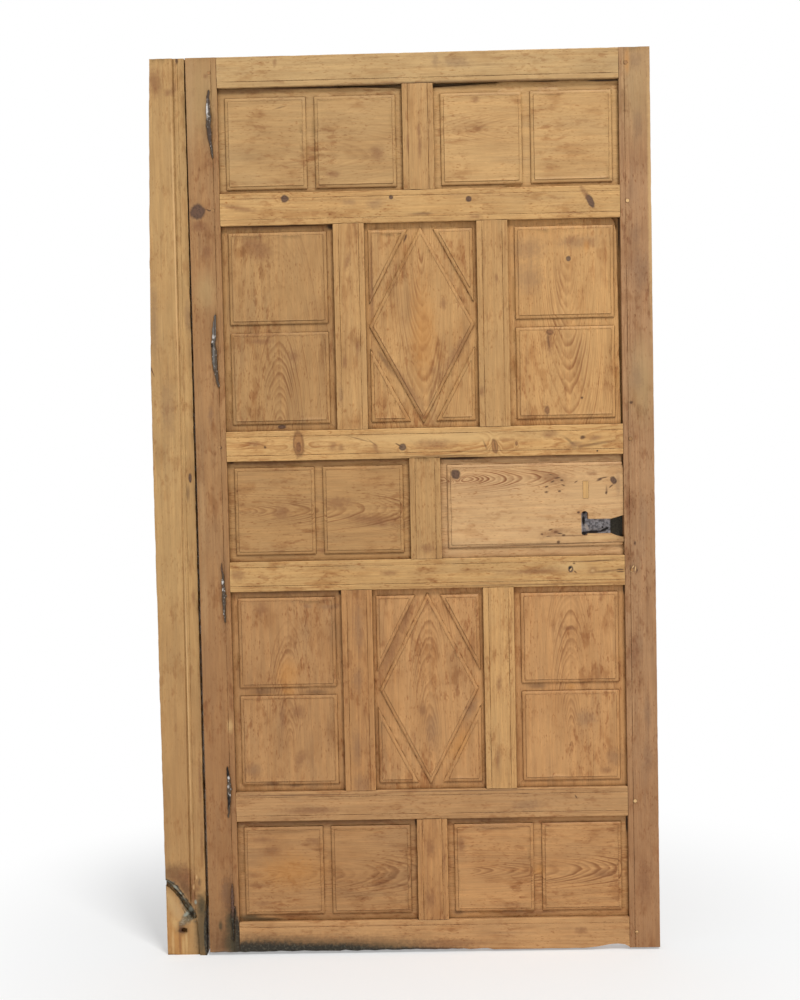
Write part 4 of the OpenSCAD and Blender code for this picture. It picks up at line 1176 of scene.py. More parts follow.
@dataclass
class LeafFrame:
    """Stiles, rails and muntins of the leaf."""

    slot: str = "frame_pine"

    def boards(self) -> list[Board]:
        """Lists the frame members.

        Returns:
            Every stile, rail and muntin with the look of its wood.
        """
        legs = (0.0997, 1.964), (0.1033, 1.4346), (0.1095, 0.862), (0.1095, 0.4054), (0.1095, 0.117)
        at_legs = tuple(mark(RUST, x, z, 8, 70) for x, z in legs)
        return [
            Board(
                "hinge_stile", UPRIGHT, Tone.HINGE_STILE, 0.06, 0.03, 0.006, 0.0065, 0.018, clouds=1.1,
                marks=at_legs + (
                    mark(SHADE, 0.0528, 1.05, 0.9, 2600), mark(WARM, 0.09, 0.4, 90, 420),
                    mark(SALLOW, 0.09, 2.02, 40, 90), mark(SALLOW, 0.085, 1.57, 20, 36),
                    mark(WORN, 0.063, 2.0, 9, 110), mark(WORN, 0.065, 1.06, 7, 90),
                    mark(WORN, 0.064, 0.85, 6, 70), mark(STAIN, 0.0995, 2.0626, 5, 5),
                    mark(BROWN, 0.0728, 1.7534, 17, 17), mark(SCAR, 0.0965, 1.757, 5, 1.6, -30),
                    mark(SCAR, 0.105, 1.7565, 5, 1.4, 10), mark(STAIN, 0.0736, 1.7257, 15, 6),
                    mark(STAIN, 0.0931, 1.6624, 9, 14), mark(STAIN, 0.0757, 1.7163, 16, 7),
                    mark(BLUE, 0.0895, 1.2835, 6, 16), mark(SCAR, 0.1112, 1.2064, 3, 3),
                    mark(PALE, 0.1151, 0.5509, 6, 14), mark(SHADE, 0.095, 0.0, 40, 100),
                    mark(SHADE, 0.1, 0.14, 11, 46), mark(BLUE, 0.0905, 0.15, 8, 26),
                    mark(MOULD, 0.1095, 0.095, 7, 24, -10), mark(MOULD, 0.1155, 0.042, 13, 54),
                    mark(OLIVE, 0.1, 0.08, 8, 22), mark(OLIVE, 0.0798, 0.0722, 4, 10),
                    mark(OLIVE, 0.102, 0.03, 14, 34), mark(MOULD, 0.085, 0.0, 45, 9),
                ),
            ),
            Board(
                "lock_stile", UPRIGHT, Tone.LOCK_STILE, -0.06, 0.04, 0.008, 0.0045, 0.018, clouds=1.35,
                contrast=0.7, flecks=1.2,
                marks=(
                    mark(SALLOW, 1.09, 2.03, 36, 110), mark(SALLOW, 1.095, 1.34, 26, 80),
                    mark(WARM, 1.09, 0.15, 90, 330), mark(BLUE, 1.0875, 2.0724, 12, 16),
                    mark(BLUE, 1.0909, 1.9315, 9, 26), mark(BLUE, 1.0843, 1.6806, 8, 22),
                    mark(BLUE, 1.0926, 1.5885, 14, 38), mark(BLUE, 1.0815, 1.3493, 12, 26),
                    mark(AMBER, 1.0682, 2.0733, 5, 24), mark(SCAR, 1.0684, 1.292, 3.5, 3.5),
                    mark(STAIN, 1.0606, 1.0576, 5, 40), mark(STAIN, 1.0589, 1.1206, 3, 10),
                    mark(SCAR, 1.0728, 0.9639, 2.2, 5), mark(SHADE, 1.068, 0.9055, 10, 9),
                    mark(PEG, 1.0665, 0.9075, 1.2, 6, -35), mark(PEG, 1.073, 0.9045, 1.2, 6, -10),
                    mark(PEG, 1.064, 0.898, 5, 1, -20), mark(SCAR, 1.0765, 0.8985, 1.2, 5, -20),
                    mark(STAIN, 1.0669, 0.7062, 12, 34), mark(BLUE, 1.0981, 0.5639, 8, 30),
                    mark(BLUE, 1.0973, 0.4552, 9, 34), mark(STAIN, 1.085, 0.16, 14, 46),
                    mark(PALE, 1.1175, 1.77, 4.5, 230),
                ),
            ),
            Board("top_rail", LEVEL, Tone.TOP, 0.06, 0.03, 0.01, ring=0.007, clouds=0.95, bright=1.01,
                  marks=(mark(STAIN, 0.26, 2.09, 4, 8), mark(BLUE, 0.6773, 2.0811, 26, 9),
                         mark(BLUE, 0.6292, 2.0832, 7, 12), mark(SHADE, 0.7, 2.036, 330, 2.5))),
            Board(
                "second_rail", LEVEL, Tone.HONEY, 0.055, 0.03, -0.012, 0.0065, flecks=1.3,
                marks=(
                    mark(BROWN, 0.2753, 1.7787, 8.5, 8.5), mark(BROWN, 0.5212, 1.7767, 5, 5),
                    mark(BROWN, 0.7005, 1.7683, 6.5, 6.5), mark(BROWN, 0.98, 1.7575, 7, 17, 25),
                    mark(STAIN, 0.966, 1.778, 5, 14, 30), mark(BLUE, 0.4241, 1.7669, 16, 6),
                    mark(BLUE, 0.484, 1.7621, 18, 9), mark(SHADE, 0.59, 1.737, 26, 3),
                    mark(STAIN, 0.7137, 1.7276, 14, 4), mark(STAIN, 0.1695, 1.7587, 34, 5, -12),
                ),
            ),
            Board(
                "third_rail", LEVEL, Tone.HONEY, 0.0, 0.02, 0.03, 0.005, 0.05, clouds=0.9, bright=1.04,
                contrast=0.95, flecks=1.9,
                marks=(
                    mark(PALE, 0.62, 1.22, 230, 12), mark(SCAR, 0.215, 1.2051, 3, 3),
                    mark(STAIN, 0.19, 1.214, 16, 6), mark(HEART, 0.2935, 1.211, 13, 32, 3),
                    mark(KNOT, 0.2935, 1.2035, 5.5, 12), mark(SHADE, 0.434, 1.2205, 24, 1.4, -16),
                    mark(SHADE, 0.466, 1.211, 12, 1.4, -38), mark(STAIN, 0.473, 1.2, 5, 11, 15),
                    mark(STAIN, 0.3725, 1.2032, 8, 8), mark(STAIN, 0.392, 1.2, 6, 7),
                    mark(GREY, 0.5361, 1.1995, 8, 8), mark(SCAR, 0.527, 1.204, 8, 1.6, -30),
                    mark(STAIN, 0.61, 1.205, 40, 9), mark(HEART, 0.7506, 1.1967, 7.5, 17, 8),
                    mark(SHADE, 0.7506, 1.199, 2, 12, 8), mark(SHADE, 0.728, 1.2, 2, 10, 20),
                    mark(KNOT, 0.8008, 1.2017, 3, 5), mark(STAIN, 0.8779, 1.2223, 15, 8),
                    mark(SHADE, 0.925, 1.205, 14, 3, -40), mark(BLUE, 0.9375, 1.197, 14, 7),
                    mark(SCAR, 0.955, 1.213, 5, 4), mark(BLUE, 0.983, 1.211, 12, 5, 20),
                    mark(GAP_SHADOW, 0.9881, 1.1812, 2.2, 2.0), mark(SHADE, 0.98, 1.197, 40, 3, 8),
                    mark(SHADE, 0.62, 1.1765, 110, 2),
                ),
            ),
            Board(
                "fourth_rail", LEVEL, Tone.HONEY, -0.05, 0.03, 0.01, 0.0065, clouds=1.15, flecks=1.5,
                marks=(
                    mark(STAIN, 0.1424, 0.9058, 15, 11), mark(STAIN, 0.4979, 0.9058, 16, 6),
                    mark(STAIN, 0.84, 0.9026, 62, 6, 2), mark(PALE, 0.9214, 0.911, 36, 12),
                    mark(GREY, 0.9221, 0.907, 6, 7.5), mark(GAP_SHADOW, 0.9205, 0.9095, 3.2, 3.4, 20),
                    mark(PEG, 0.9225, 0.9055, 1.5, 3.2, -35), mark(SCAR, 0.933, 0.9, 4, 1.4, -40),
                    mark(SCAR, 0.93, 0.92, 3, 2), mark(STAIN, 0.9738, 0.9017, 9, 7),
                    mark(PALE, 0.9738, 0.9017, 4, 3), mark(SCAR, 1.0385, 0.9035, 8, 1.6),
                    mark(SCAR, 1.0385, 0.8985, 8, 1.2), mark(SHADE, 1.005, 0.9, 22, 2.5, 4),
                    mark(SHADE, 0.985, 0.925, 40, 1.6, 3), mark(SHADE, 0.85, 0.872, 190, 2),
                ),
            ),
            Board("fifth_rail", LEVEL, Tone.LOW_RAIL, 0.05, 0.03, 0.01, 0.0065, clouds=0.95, bright=0.985,
                  marks=(mark(BLUE, 0.8122, 0.3495, 30, 12), mark(STAIN, 0.3, 0.345, 60, 7),
                         mark(SCAR, 0.9267, 0.3686, 1.5, 5, 30), mark(SHADE, 0.3, 0.383, 150, 1.6),
                         mark(SHADE, 0.7, 0.387, 200, 1.6))),
            Board(
                "bottom_rail", LEVEL, Tone.LOW_RAIL, -0.05, 0.03, 0.008, 0.0065, clouds=0.9, bright=1.035,
                marks=(
                    mark(SHADE, 0.3, 0.02, 260, 24), mark(OLIVE, 0.17, 0.0, 150, 36),
                    mark(OLIVE, 0.4, 0.0, 180, 25), mark(MOULD, 0.17, 0.0, 140, 31),
                    mark(MOULD, 0.33, 0.0, 160, 24), mark(MOULD, 0.52, 0.0, 160, 14),
                    mark(STAIN, 0.935, 0.048, 12, 8), mark(STAIN, 0.62, 0.02, 60, 10),
                ),
            ),
            Board("row1_muntin", UPRIGHT, Tone.MUNTIN, 0.05, 0.03, 0.02,
                  marks=(mark(STAIN, 0.5896, 1.8886, 4, 20), mark(STAIN, 0.588, 1.9298, 4, 14),
                         mark(STAIN, 0.5622, 1.8989, 3, 20))),
            Board("row2_left_muntin", UPRIGHT, Tone.MUNTIN, 0.0, 0.02, 0.03, bright=1.02,
                  marks=(mark(STAIN, 0.4172, 1.6312, 5, 18, -15), mark(BLUE, 0.394, 1.3237, 5, 20),
                         mark(STAIN, 0.4369, 1.4337, 4, 16), mark(STAIN, 0.405, 1.4, 5, 12))),
            Board("row2_right_muntin", UPRIGHT, Tone.MUNTIN, 0.05, 0.03, 0.015, clouds=0.7, bright=1.01,
                  marks=(mark(STAIN, 0.7222, 1.3256, 6, 10), mark(STAIN, 0.762, 1.585, 4, 8))),
            Board("row3_muntin", UPRIGHT, Tone.MUNTIN, -0.05, 0.03, 0.015, clouds=0.7, bright=0.985,
                  marks=(mark(STAIN, 0.5873, 0.9616, 14, 9),)),
            Board("row4_left_muntin", UPRIGHT, Tone.RUSSET, 0.01, 0.02, 0.02, bright=0.95,
                  marks=(mark(BLUE, 0.4234, 0.7786, 10, 50), mark(BLUE, 0.419, 0.6557, 10, 26),
                         mark(BLUE, 0.4139, 0.4944, 10, 36), mark(BLUE, 0.4217, 0.4036, 15, 22))),
            Board("row4_right_muntin", UPRIGHT, Tone.MUNTIN, 0.05, 0.03, 0.015, bright=1.07,
                  marks=(mark(STAIN, 0.75, 0.64, 5, 18), mark(STAIN, 0.745, 0.46, 4, 24))),
            Board("row5_muntin", UPRIGHT, Tone.RUSSET, 0.0, 0.03, 0.02, bright=0.96,
                  marks=(mark(STAIN, 0.5814, 0.251, 9, 18), mark(STAIN, 0.6138, 0.2214, 3, 26),
                         mark(STAIN, 0.5795, 0.1265, 9, 20))),
        ]

    def build(self, work: BoardWork) -> None:
        """Builds the frame members.

        Args:
            work: The board work.
        """
        for board in self.boards():
            kind = RottenFoot if board.node in ("bottom_rail", "hinge_stile") else WornCopy
            work.dress(board, kind(board.node, "leaf", self.slot, board.grain))


@dataclass
class PanelSet:
    """The twelve panels of the leaf."""

    slot: str = "panel_pine"

    def boards(self) -> list[Board]:
        """Lists the panels.

        Returns:
            Every panel with the look of its wood.
        """
        upper, lower = Tone.UPPER_PANEL, Tone.LOWER_PANEL
        # the near-black gap marks on the panels are painted shadow under the rails and beside the stiles and
        # muntins
        return [
            self._panel(
                "row1_left_panel", LEVEL, Tone.TOP_PANEL, -0.03, 0.03, 0.13, 0.005, 0.35, 0.95, 0.985,
                mark(GAP_SHADOW, 0.4, 2.0345, 170, 4), mark(SHADE, 0.2, 2.031, 90, 7),
                mark(SHADE, 0.2689, 1.9881, 12, 1.4, 14), mark(STAIN, 0.4906, 1.8789, 14, 16),
                mark(STAIN, 0.3884, 1.8327, 16, 6),
            ),
            self._panel(
                "row1_right_panel", LEVEL, Tone.TOP_PANEL, 0.02, 0.025, -0.12, 0.003, 0.45, 0.85, 1.05,
                mark(PLAIN, 0.97, 1.99, 110, 50), mark(GAP_SHADOW, 0.618, 2.0335, 135, 7),
                mark(GAP_SHADOW, 0.887, 2.0365, 38, 3.5), mark(GAP_SHADOW, 1.02, 2.0345, 48, 4),
                mark(STAIN, 0.72, 1.995, 8, 6),
            ),
            self._panel(
                "row2_left_panel", UPRIGHT, upper, -0.005, 0.06, 0.19, 0.0032, 1.3, 1.05, 0.945,
                mark(PLAIN, 0.23, 1.62, 130, 170), mark(BROWN, 0.2545, 1.252, 9, 5),
                mark(GAP_SHADOW, 0.383, 1.715, 13, 8), mark(GAP_SHADOW, 0.26, 1.7185, 110, 2.4),
                mark(SHADE, 0.25, 1.717, 130, 6), mark(STAIN, 0.1957, 1.6792, 20, 12),
                mark(STAIN, 0.2096, 1.4515, 26, 5), mark(STAIN, 0.288, 1.416, 11, 10),
                mark(STAIN, 0.215, 1.66, 22, 18),
            ),
            self._panel(
                "row2_centre_panel", UPRIGHT, upper, 0.0, 0.03, -0.16, 0.004, 0.9, 1.15, 1.015,
                mark(SCAR, 0.552, 1.6835, 2.5, 9, -20), mark(STAIN, 0.668, 1.42, 54, 10, 57),
                mark(SHADE, 0.4985, 1.4, 30, 5, -58), mark(STAIN, 0.55, 1.34, 62, 7, -58),
                mark(STAIN, 0.4716, 1.5667, 4, 90), mark(STAIN, 0.6373, 1.5302, 6, 10),
                mark(STAIN, 0.593, 1.4972, 7, 8), mark(STAIN, 0.5896, 1.4279, 10, 9),
                mark(STAIN, 0.6073, 1.3762, 9, 8), mark(AMBER, 0.59, 1.46, 24, 90),
            ),
            self._panel(
                "row2_right_panel", UPRIGHT, upper, 0.005, 0.04, -0.15, 0.0038, 1.0, 0.95, 1.05,
                mark(PLAIN, 0.9, 1.66, 110, 60), mark(GAP_SHADOW, 1.0475, 1.69, 2.6, 46),
                mark(BLUE, 0.835, 1.65, 34, 22), mark(BLUE, 0.836, 1.585, 26, 30),
                mark(BLUE, 0.95, 1.665, 40, 12), mark(GREY, 0.9282, 1.6272, 5, 6),
                mark(AMBER, 0.97, 1.655, 6, 12), mark(KNOT, 0.8828, 1.4585, 8, 6),
                mark(STAIN, 0.8805, 1.435, 6, 24), mark(SHADE, 0.8785, 1.44, 2, 20, 5),
                mark(KNOT, 0.8739, 1.2782, 6, 9), mark(SCAR, 0.9548, 1.3054, 2.6, 2.6),
            ),
            self._panel(
                "row3_left_panel", LEVEL, upper, 0.0, 0.034, 0.11, 0.0024, 1.1, 0.95, 0.96,
                mark(GAP_SHADOW, 0.134, 1.1705, 6, 2.4), mark(SHADE, 0.2, 1.1685, 90, 4),
                mark(SHADE, 0.34, 1.171, 210, 4), mark(STAIN, 0.2484, 1.0529, 16, 14),
                mark(STAIN, 0.3795, 1.0719, 30, 12), mark(STAIN, 0.3425, 0.9604, 8, 5),
                mark(STAIN, 0.46, 1.03, 50, 10, -8),
            ),
            self._panel(
                "lock_panel", LEVEL, Tone.LOCK_PANEL, 0.066, 0.028, 0.11, 0.0019, 1.3, 0.75, 1.0,
                mark(PLAIN, 0.99, 1.11, 80, 60), mark(PLAIN, 0.8, 1.0, 260, 50),
                mark(GAP_SHADOW, 0.67, 1.1705, 55, 3.5), mark(GAP_SHADOW, 1.0475, 1.158, 2.4, 16),
                mark(SHADE, 0.84, 1.172, 220, 5), mark(PALE, 1.0, 1.012, 40, 5),
                mark(PALE, 0.97, 1.0, 7, 24), mark(PALE, 1.0, 0.978, 44, 4),
                mark(BROWN, 0.6583, 1.1335, 10.5, 10.5), mark(BLUE, 1.036, 1.104, 5, 26),
                mark(BROWN, 1.025, 1.112, 6.5, 9.5, 20), mark(SCAR, 0.992, 1.1136, 7, 2, 20),
                mark(STAIN, 0.9753, 1.1286, 10, 5), mark(SCAR, 1.0, 1.118, 12, 1.3, 10),
                mark(SCAR, 1.019, 1.098, 6, 1.5, 40), mark(STAIN, 0.885, 1.12, 26, 12, -10),
                mark(SCAR, 0.88, 1.128, 5, 1.4, -15), mark(SCAR, 0.895, 1.12, 6, 1.6, 10),
                mark(SCAR, 0.884, 1.112, 4, 1.8, 30), mark(SCAR, 0.908, 1.103, 5, 1.5, -20),
                mark(SCAR, 0.87, 1.1, 4, 1.4, 20), mark(SCAR, 0.8695, 1.0876, 4, 2),
                mark(SCAR, 0.8995, 1.0889, 3.5, 2), mark(SCAR, 0.9044, 1.1143, 4, 2),
                mark(SCAR, 0.938, 1.11, 4, 1.2, 30), mark(SCAR, 0.8892, 0.9935, 4.5, 2.6),
                mark(SCAR, 0.895, 0.9699, 3.6, 3), mark(SCAR, 0.8568, 0.989, 2.6, 2),
                mark(SCAR, 0.9076, 0.9859, 4, 2.2), mark(SCAR, 0.9428, 1.0384, 3, 2.5),
                mark(SCAR, 1.0079, 1.0828, 2.4, 3), mark(SHADE, 1.009, 1.09, 2, 9),
                mark(STAIN, 0.885, 0.992, 26, 7, 12), mark(SCAR, 0.877, 0.999, 5, 1.4, 20),
                mark(SCAR, 0.9, 0.9895, 6, 1.3, -10), mark(SCAR, 0.872, 0.984, 5, 1.2, 5),
                mark(SHADE, 0.93, 0.9845, 42, 1.6), mark(SHADE, 0.83, 0.964, 200, 1.6, 1),
            ),
            self._panel(
                "row4_left_panel", UPRIGHT, lower, 0.0, 0.03, 0.15, 0.003, 0.8, 1.3, 0.97,
                mark(PLAIN, 0.2, 0.8, 80, 60), mark(PLAIN, 0.3, 0.45, 120, 60),
                mark(GAP_SHADOW, 0.3835, 0.862, 6, 7), mark(SHADE, 0.25, 0.864, 125, 5),
                mark(STAIN, 0.1971, 0.8284, 12, 16), mark(BLUE, 0.305, 0.8297, 9, 5),
                mark(BLUE, 0.3564, 0.828, 22, 5), mark(AMBER, 0.2542, 0.67, 22, 30),
                mark(SHADE, 0.196, 0.629, 26, 7), mark(SHADE, 0.32, 0.6256, 24, 6),
                mark(AMBER, 0.2542, 0.6276, 11, 8), mark(STAIN, 0.2391, 0.568, 6, 30, 4),
                mark(STAIN, 0.2768, 0.5794, 12, 14), mark(STAIN, 0.2794, 0.4698, 10, 18, -25),
                mark(BLUE, 0.1681, 0.4444, 16, 12), mark(SHADE, 0.21, 0.4098, 16, 4),
                mark(SHADE, 0.266, 0.4034, 14, 4),
            ),
            self._panel(
                "row4_centre_panel", UPRIGHT, lower, 0.0, 0.03, 0.14, 0.0032, 0.75, 1.2, 1.03,
                mark(STAIN, 0.497, 0.713, 52, 11, 62), mark(STAIN, 0.535, 0.795, 40, 8, 62),
                mark(BLUE, 0.6844, 0.5812, 24, 9, 60), mark(AMBER, 0.6552, 0.4967, 30, 14, 60),
                mark(STAIN, 0.57, 0.58, 7, 12), mark(BLUE, 0.59, 0.53, 12, 36),
            ),
            self._panel(
                "row4_right_panel", UPRIGHT, lower, 0.0, 0.026, 0.14, 0.0028, 0.8, 1.05, 1.045,
                mark(GAP_SHADOW, 1.0475, 0.856, 2.4, 12), mark(STAIN, 0.9192, 0.7674, 12, 5),
                mark(SHADE, 0.8388, 0.6309, 20, 6), mark(AMBER, 0.9201, 0.6284, 10, 8),
                mark(BLUE, 0.9542, 0.5541, 20, 16), mark(STAIN, 0.9995, 0.4296, 12, 7),
                mark(BLUE, 1.02, 0.46, 16, 16),
            ),
            self._panel(
                "row5_left_panel", LEVEL, lower, -0.01, 0.03, 0.12, 0.0035, 0.8, 1.25, 0.955,
                mark(SHADE, 0.33, 0.3155, 200, 5), mark(GAP_SHADOW, 0.549, 0.312, 2.6, 12),
                mark(STAIN, 0.186, 0.2763, 22, 7), mark(STAIN, 0.2043, 0.247, 20, 10),
                mark(STAIN, 0.1653, 0.1904, 16, 5), mark(STAIN, 0.304, 0.2731, 16, 6),
                mark(STAIN, 0.1695, 0.1663, 18, 4), mark(STAIN, 0.1829, 0.1226, 16, 5),
                mark(AMBER, 0.25, 0.2, 70, 34), mark(OLIVE, 0.148, 0.086, 26, 9),
                mark(OLIVE, 0.187, 0.082, 36, 4),
            ),
            self._panel(
                "row5_right_panel", LEVEL, lower, -0.008, 0.026, 0.1, 0.0028, 1.2, 1.05, 1.03,
                mark(SHADE, 0.72, 0.3155, 110, 5), mark(GAP_SHADOW, 1.0465, 0.3, 2.5, 22),
                mark(AMBER, 0.8384, 0.1914, 11, 10), mark(STAIN, 0.9879, 0.1825, 16, 9),
                mark(STAIN, 0.655, 0.255, 8, 18), mark(SHADE, 0.645, 0.0925, 12, 6),
                mark(STAIN, 0.82, 0.09, 60, 4),
            ),
        ]

    @staticmethod
    def _panel(
        node: str,
        grain: Grain,
        tone: Tone,
        pith_across: float,
        pith_depth: float,
        taper: float,
        ring: float,
        contrast: float,
        clouds: float,
        bright: float,
        *marks: Mark,
    ) -> Board:
        """Describes one panel, with rings wide and plain enough to read as arches.

        Args:
            node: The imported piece.
            grain: The axis of its fibres.
            tone: The colours of its wood.
            pith_across: Place of the pith across the grain.
            pith_depth: Depth of the pith behind the face.
            taper: Slope of the pith, which sets how far apart the arches stand.
            ring: Width of a year ring.
            contrast: Strength of the year rings.
            clouds: Strength of the soft patches.
            bright: Level of the colours.
            *marks: Its knots, stains and scars.

        Returns:
            The panel's board.
        """
        wobble = 0.014
        look = (node, grain, tone, pith_across, pith_depth, taper, ring, wobble, clouds, bright, contrast)
        return Board(*look, marks=marks)

    def build(self, work: BoardWork) -> None:
        """Builds the panels.

        Args:
            work: The board work.
        """
        for board in self.boards():
            work.dress(board, WornCopy(board.node, "leaf", self.slot, board.grain))


@dataclass
class LockSet:
    """The iron behind the cut-out, the pale slip and the pegs of the frame."""

    plate: IronFinish = IronFinish(
        (84, 84, 88), (176, 176, 182), 0.38, 0.6, 150.0, 0.6, 0.1,
        (
            # painted shadow in black and painted highlight in near-white along the edges of the cut-out, over
            # the grey iron
            mark(IRON_GLINT, 0.9505, 1.016, 2.6, 18), mark(IRON_GLINT, 0.9632, 1.002, 3.5, 9, 30),
            mark(IRON_BLACK_AND_SHADOW, 0.9565, 1.017, 3.4, 12), mark(IRON_BLACK_AND_SHADOW, 0.9585, 1.0385, 5, 5),
            mark(IRON_BLACK_AND_SHADOW, 0.9565, 0.986, 7, 5.5), mark(IRON_BLACK_AND_SHADOW, 0.979, 0.9905, 24, 3.6, 3),
            mark(IRON_BLACK_AND_SHADOW, 1.006, 0.996, 10, 3.2, 25), mark(IRON_BROWN, 0.988, 1.024, 9, 4),
            mark(IRON_BLACK_AND_SHADOW, 1.001, 1.001, 2.5, 2.5),
        ),
    )
    case: IronFinish = IronFinish((56, 54, 47), (64, 62, 54), 0.5, 0.9, 30.0, 0.7, 0.1)
    pale_pegs: tuple[tuple[float, float], ...] = ((1.065, 1.7569), (1.0616, 0.359), (1.0693, 0.0537))
    slip_wear: tuple[float, ...] = (0.006, 0.006, 0.0003, 0.0002, 0.0004)
    peg_wear: tuple[float, ...] = (0.5, 0.5, 0.0004, 0.0001, 0.0002)

    def build(self, work: BoardWork) -> None:
        """Builds the lock's pieces, the slip and the pegs.

        Args:
            work: The board work.
        """
        plate = self.plate.material("lock_plate_iron", work.groups)
        case = self.case.material("lock_case_iron", work.groups)
        WornCopy("lock_plate", "leaf", "lock_iron", wave=0.0003, chip=0.0006).build(plate)
        WornCopy("lock_case", "leaf", "lock_iron", wave=0.0003, chip=0.0004).build(case)
        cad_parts["lock_nails"].data.materials.clear()
        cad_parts["lock_nails"].data.materials.append(case)
        slip = Board("slip_patch", UPRIGHT, Tone.HONEY, 0.05, 0.03, 0.0, 0.002, clouds=0.3, bright=1.03)
        work.dress(slip, WornCopy("slip_patch", "leaf", "pale_pine", UPRIGHT, *self.slip_wear))
        pale = tuple(mark(PEG, x, z, 12, 12) for x, z in self.pale_pegs) + (mark(MOULD, 0.1, 0.04, 40, 60),)
        pegs = Board("tenon_pegs", UPRIGHT, Tone.HINGE_STILE, 0.3, 0.2, 0.0, 0.002, clouds=0.6, marks=pale)
        work.dress(pegs, WornCopy("tenon_pegs", "leaf", "pale_pine", UPRIGHT, *self.peg_wear))


@dataclass
class HingeSet:
    """Five hinges, each of two linked cotters with legs hammered flat."""

    count: int = 5
    first_seed: float = 20.0
    wear: tuple[float, ...] = (0.004, 0.02, 0.0006, 0.0005, 0.0009)
    finish: IronFinish = IronFinish(
        (66, 56, 46), (196, 186, 176), 0.57, 0.66, 190.0, 0.6, 0.1,
        (
            # the near-white glint marks on the legs are painted highlight among the scale and rust
            mark(IRON_BROWN, 0.102, 2.01, 6, 26), mark(IRON_BROWN, 0.104, 1.925, 6, 34),
            mark(IRON_GLINT, 0.1005, 1.988, 3.2, 17), mark(IRON_GLINT, 0.097, 1.97, 2.5, 5),
            mark(IRON_GLINT, 0.0965, 1.953, 1.8, 4), mark(IRON_GREY, 0.101, 1.497, 7, 40),
            mark(IRON_BROWN, 0.1045, 1.497, 1.5, 34), mark(IRON_GREY, 0.101, 1.42, 2, 24),
            mark(IRON_GLINT, 0.1034, 1.5276, 2, 5), mark(IRON_GLINT, 0.101, 1.465, 3, 4),
            mark(IRON_GLINT, 0.096, 1.4536, 4, 2.5), mark(IRON_BLACK_AND_SHADOW, 0.097, 1.444, 3, 5),
            mark(IRON_GLINT, 0.1064, 0.8905, 3, 4.5), mark(IRON_RUST, 0.1064, 0.882, 3, 4),
            mark(IRON_GLINT, 0.1066, 0.8745, 2.4, 3.4), mark(IRON_RUST, 0.105, 0.93, 7, 18),
            mark(IRON_GLINT, 0.1067, 0.816, 1.6, 3.5), mark(IRON_BLACK_AND_SHADOW, 0.107, 0.445, 4, 20),
            mark(IRON_GLINT, 0.1094, 0.4275, 2.6, 4), mark(IRON_GLINT, 0.1075, 0.4067, 2.4, 3.2),
            mark(IRON_GLINT, 0.1112, 0.3863, 1.6, 2.4), mark(IRON_BLACK_AND_SHADOW, 0.107, 0.372, 4, 16),
            mark(IRON_RUST, 0.104, 0.115, 16, 110), mark(IRON_BROWN, 0.1, 0.172, 5, 16),
            mark(MOULD, 0.108, 0.05, 12, 50),
        ),
    )

    def build(self, groups: SharedGroups) -> None:
        """Builds both cotters of every hinge.

        Args:
            groups: The shared effects.
        """
        iron = self.finish.material("hinge_iron_worn", groups)
        for number in range(1, self.count + 1):
            for body in ("jamb", "leaf"):
                node, seed = f"{body}_cotter_{number}", self.first_seed + number
                HammeredLegs(node, body, "hinge_iron", UPRIGHT, *self.wear, seed=seed).build(iron)


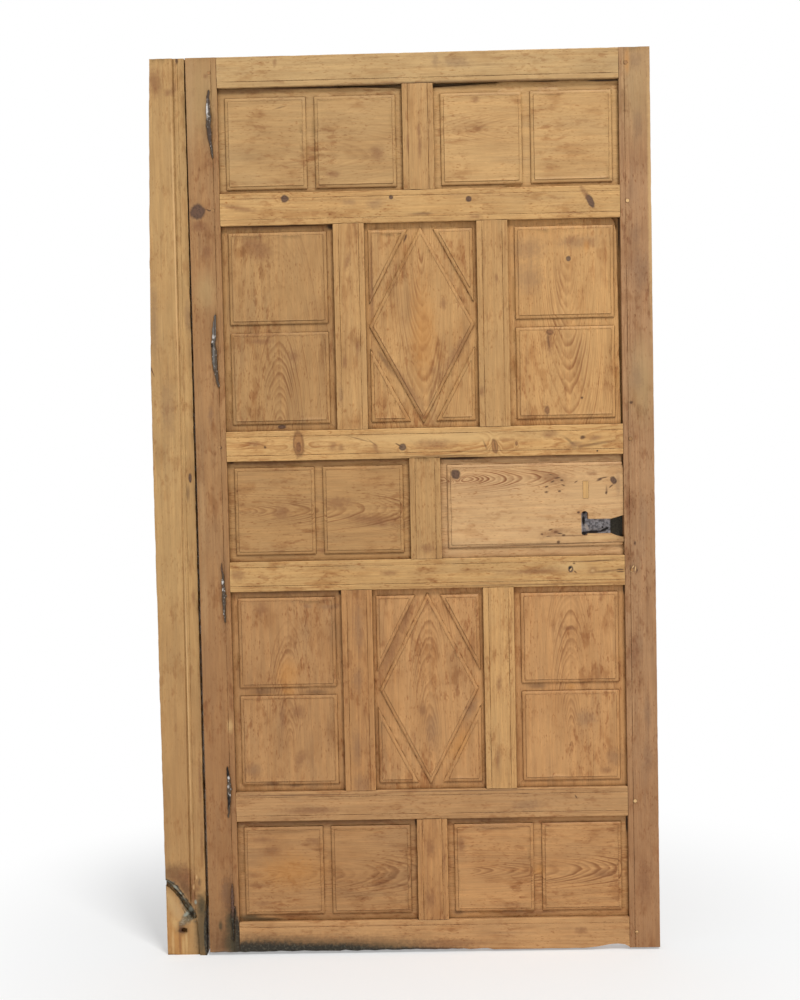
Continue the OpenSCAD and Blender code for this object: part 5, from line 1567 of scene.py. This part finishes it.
@dataclass
class Studio:
    """Pale floor, white surroundings, soft lamps and the camera of the photograph."""

    camera_place: tuple[float, float, float] = (0.595, -3.6, 1.271)
    yaw: float = 1.09
    pitch: float = -3.13
    roll: float = 1.21
    focal_pixels: float = 1530.2
    frame_pixels: float = 1000.0
    sensor: float = 36.0
    middle: tuple[float, float, float] = (0.55, 0.0, 1.0)
    key_place: tuple[float, float, float] = (2.95, -5.5, 9.0)
    key_size: float = 2.2
    key_power: float = 665.0
    fill_place: tuple[float, float, float] = (-2.2, -3.4, 1.6)
    fill_size: float = 3.0
    fill_power: float = 10.0
    sky: float = 0.42
    floor_reach: float = 12.0
    floor_fade: tuple[float, float, float, float] = (0.5, 1.5, 0.35, 1.0)

    def build(self) -> None:
        """Builds the surroundings."""
        self._camera()
        self._world()
        self._lamp("key_lamp", self.key_place, self.key_size, self.key_power)
        self._lamp("fill_lamp", self.fill_place, self.fill_size, self.fill_power)
        self._floor()

    def _camera(self) -> None:
        """Sets the camera at the photograph's place."""
        data = bpy.data.cameras.new("camera")
        data.sensor_width = self.sensor
        data.lens = self.focal_pixels / self.frame_pixels * self.sensor
        data.clip_end = 60.0
        camera = bpy.data.objects.new("camera", data)
        turn = (
            Matrix.Rotation(math.radians(self.yaw), 3, "Z")
            @ Matrix.Rotation(math.radians(self.pitch), 3, "X")
            @ Matrix.Rotation(math.radians(self.roll), 3, "Y")
        )
        right, forward, up = turn.col
        axes = Matrix((right, up, -forward)).transposed()
        camera.matrix_world = Matrix.Translation(self.camera_place) @ axes.to_4x4()
        bpy.context.scene.collection.objects.link(camera)
        bpy.context.scene.camera = camera

    def _world(self) -> None:
        """Lights all round softly and shows white behind the door."""
        world = bpy.data.worlds.new("surroundings")
        bpy.context.scene.world = world
        world.use_nodes = True
        w = Wiring(world.node_tree)
        world.node_tree.nodes.clear()
        sides = []
        for colour, strength in (((0.96, 0.98, 1.0), self.sky), ((1.0, 1.0, 1.0), 1.0)):
            side = w.node("ShaderNodeBackground")
            w.fill(side, colour, strength)
            sides.append(side.outputs[0])
        both = w.node("ShaderNodeMixShader")
        w.fill(both, w.looked_at(), *sides)
        out = w.node("ShaderNodeOutputWorld")
        w.put(out.inputs[0], both.outputs[0])

    def _lamp(self, name: str, place: tuple[float, float, float], size: float, power: float) -> None:
        """Adds a square lamp that faces the door's middle.

        Args:
            name: The lamp's name.
            place: Where it hangs.
            size: Length of its side.
            power: Its power in watts.
        """
        data = bpy.data.lights.new(name, "AREA")
        data.size = size
        data.energy = power
        lamp = bpy.data.objects.new(name, data)
        lamp.location = place
        lamp.rotation_mode = "QUATERNION"
        lamp.rotation_quaternion = (Vector(self.middle) - Vector(place)).to_track_quat("-Z", "Y")
        bpy.context.scene.collection.objects.link(lamp)

    def _floor(self) -> None:
        """Lays a pale floor that fades to the white behind it."""
        mesh = bpy.data.meshes.new("floor")
        reach = self.floor_reach
        corners = [(-reach, -reach, 0.0), (reach, -reach, 0.0), (reach, reach, 0.0), (-reach, reach, 0.0)]
        mesh.from_pydata(corners, [], [(0, 1, 2, 3)])
        floor = bpy.data.objects.new("floor", mesh)
        bpy.context.scene.collection.objects.link(floor)
        material, w, shader = new_material("pale_floor")
        w.put(shader.inputs["Base Color"], (0.94, 0.94, 0.93))
        shader.inputs["Roughness"].default_value = 0.8
        place = w.node("ShaderNodeTexCoord").outputs["Object"]
        far = w.vector("LENGTH", w.vector("SUBTRACT", place, (self.middle[0], 0.0, 0.0)))
        shown = w.math("MULTIPLY", w.step(far, *self.floor_fade), w.looked_at())
        both = w.node("ShaderNodeMixShader")
        w.fill(both, shown, shader.outputs[0], w.node("ShaderNodeEmission").outputs[0])
        w.put(material.node_tree.nodes["Material Output"].inputs["Surface"], both.outputs[0])
        mesh.materials.append(material)


def main() -> None:
    """Builds the door, piece by piece, and its surroundings."""
    logging.basicConfig(level=logging.INFO, format="%(message)s")
    scene = bpy.context.scene
    scene.view_settings.view_transform = "Standard"
    Studio().build()
    work = BoardWork(SharedGroups())
    Jamb().build(work)
    LeafFrame().build(work)
    PanelSet().build(work)
    LockSet().build(work)
    HingeSet().build(work.groups)


if __name__ == "__main__":
    main()
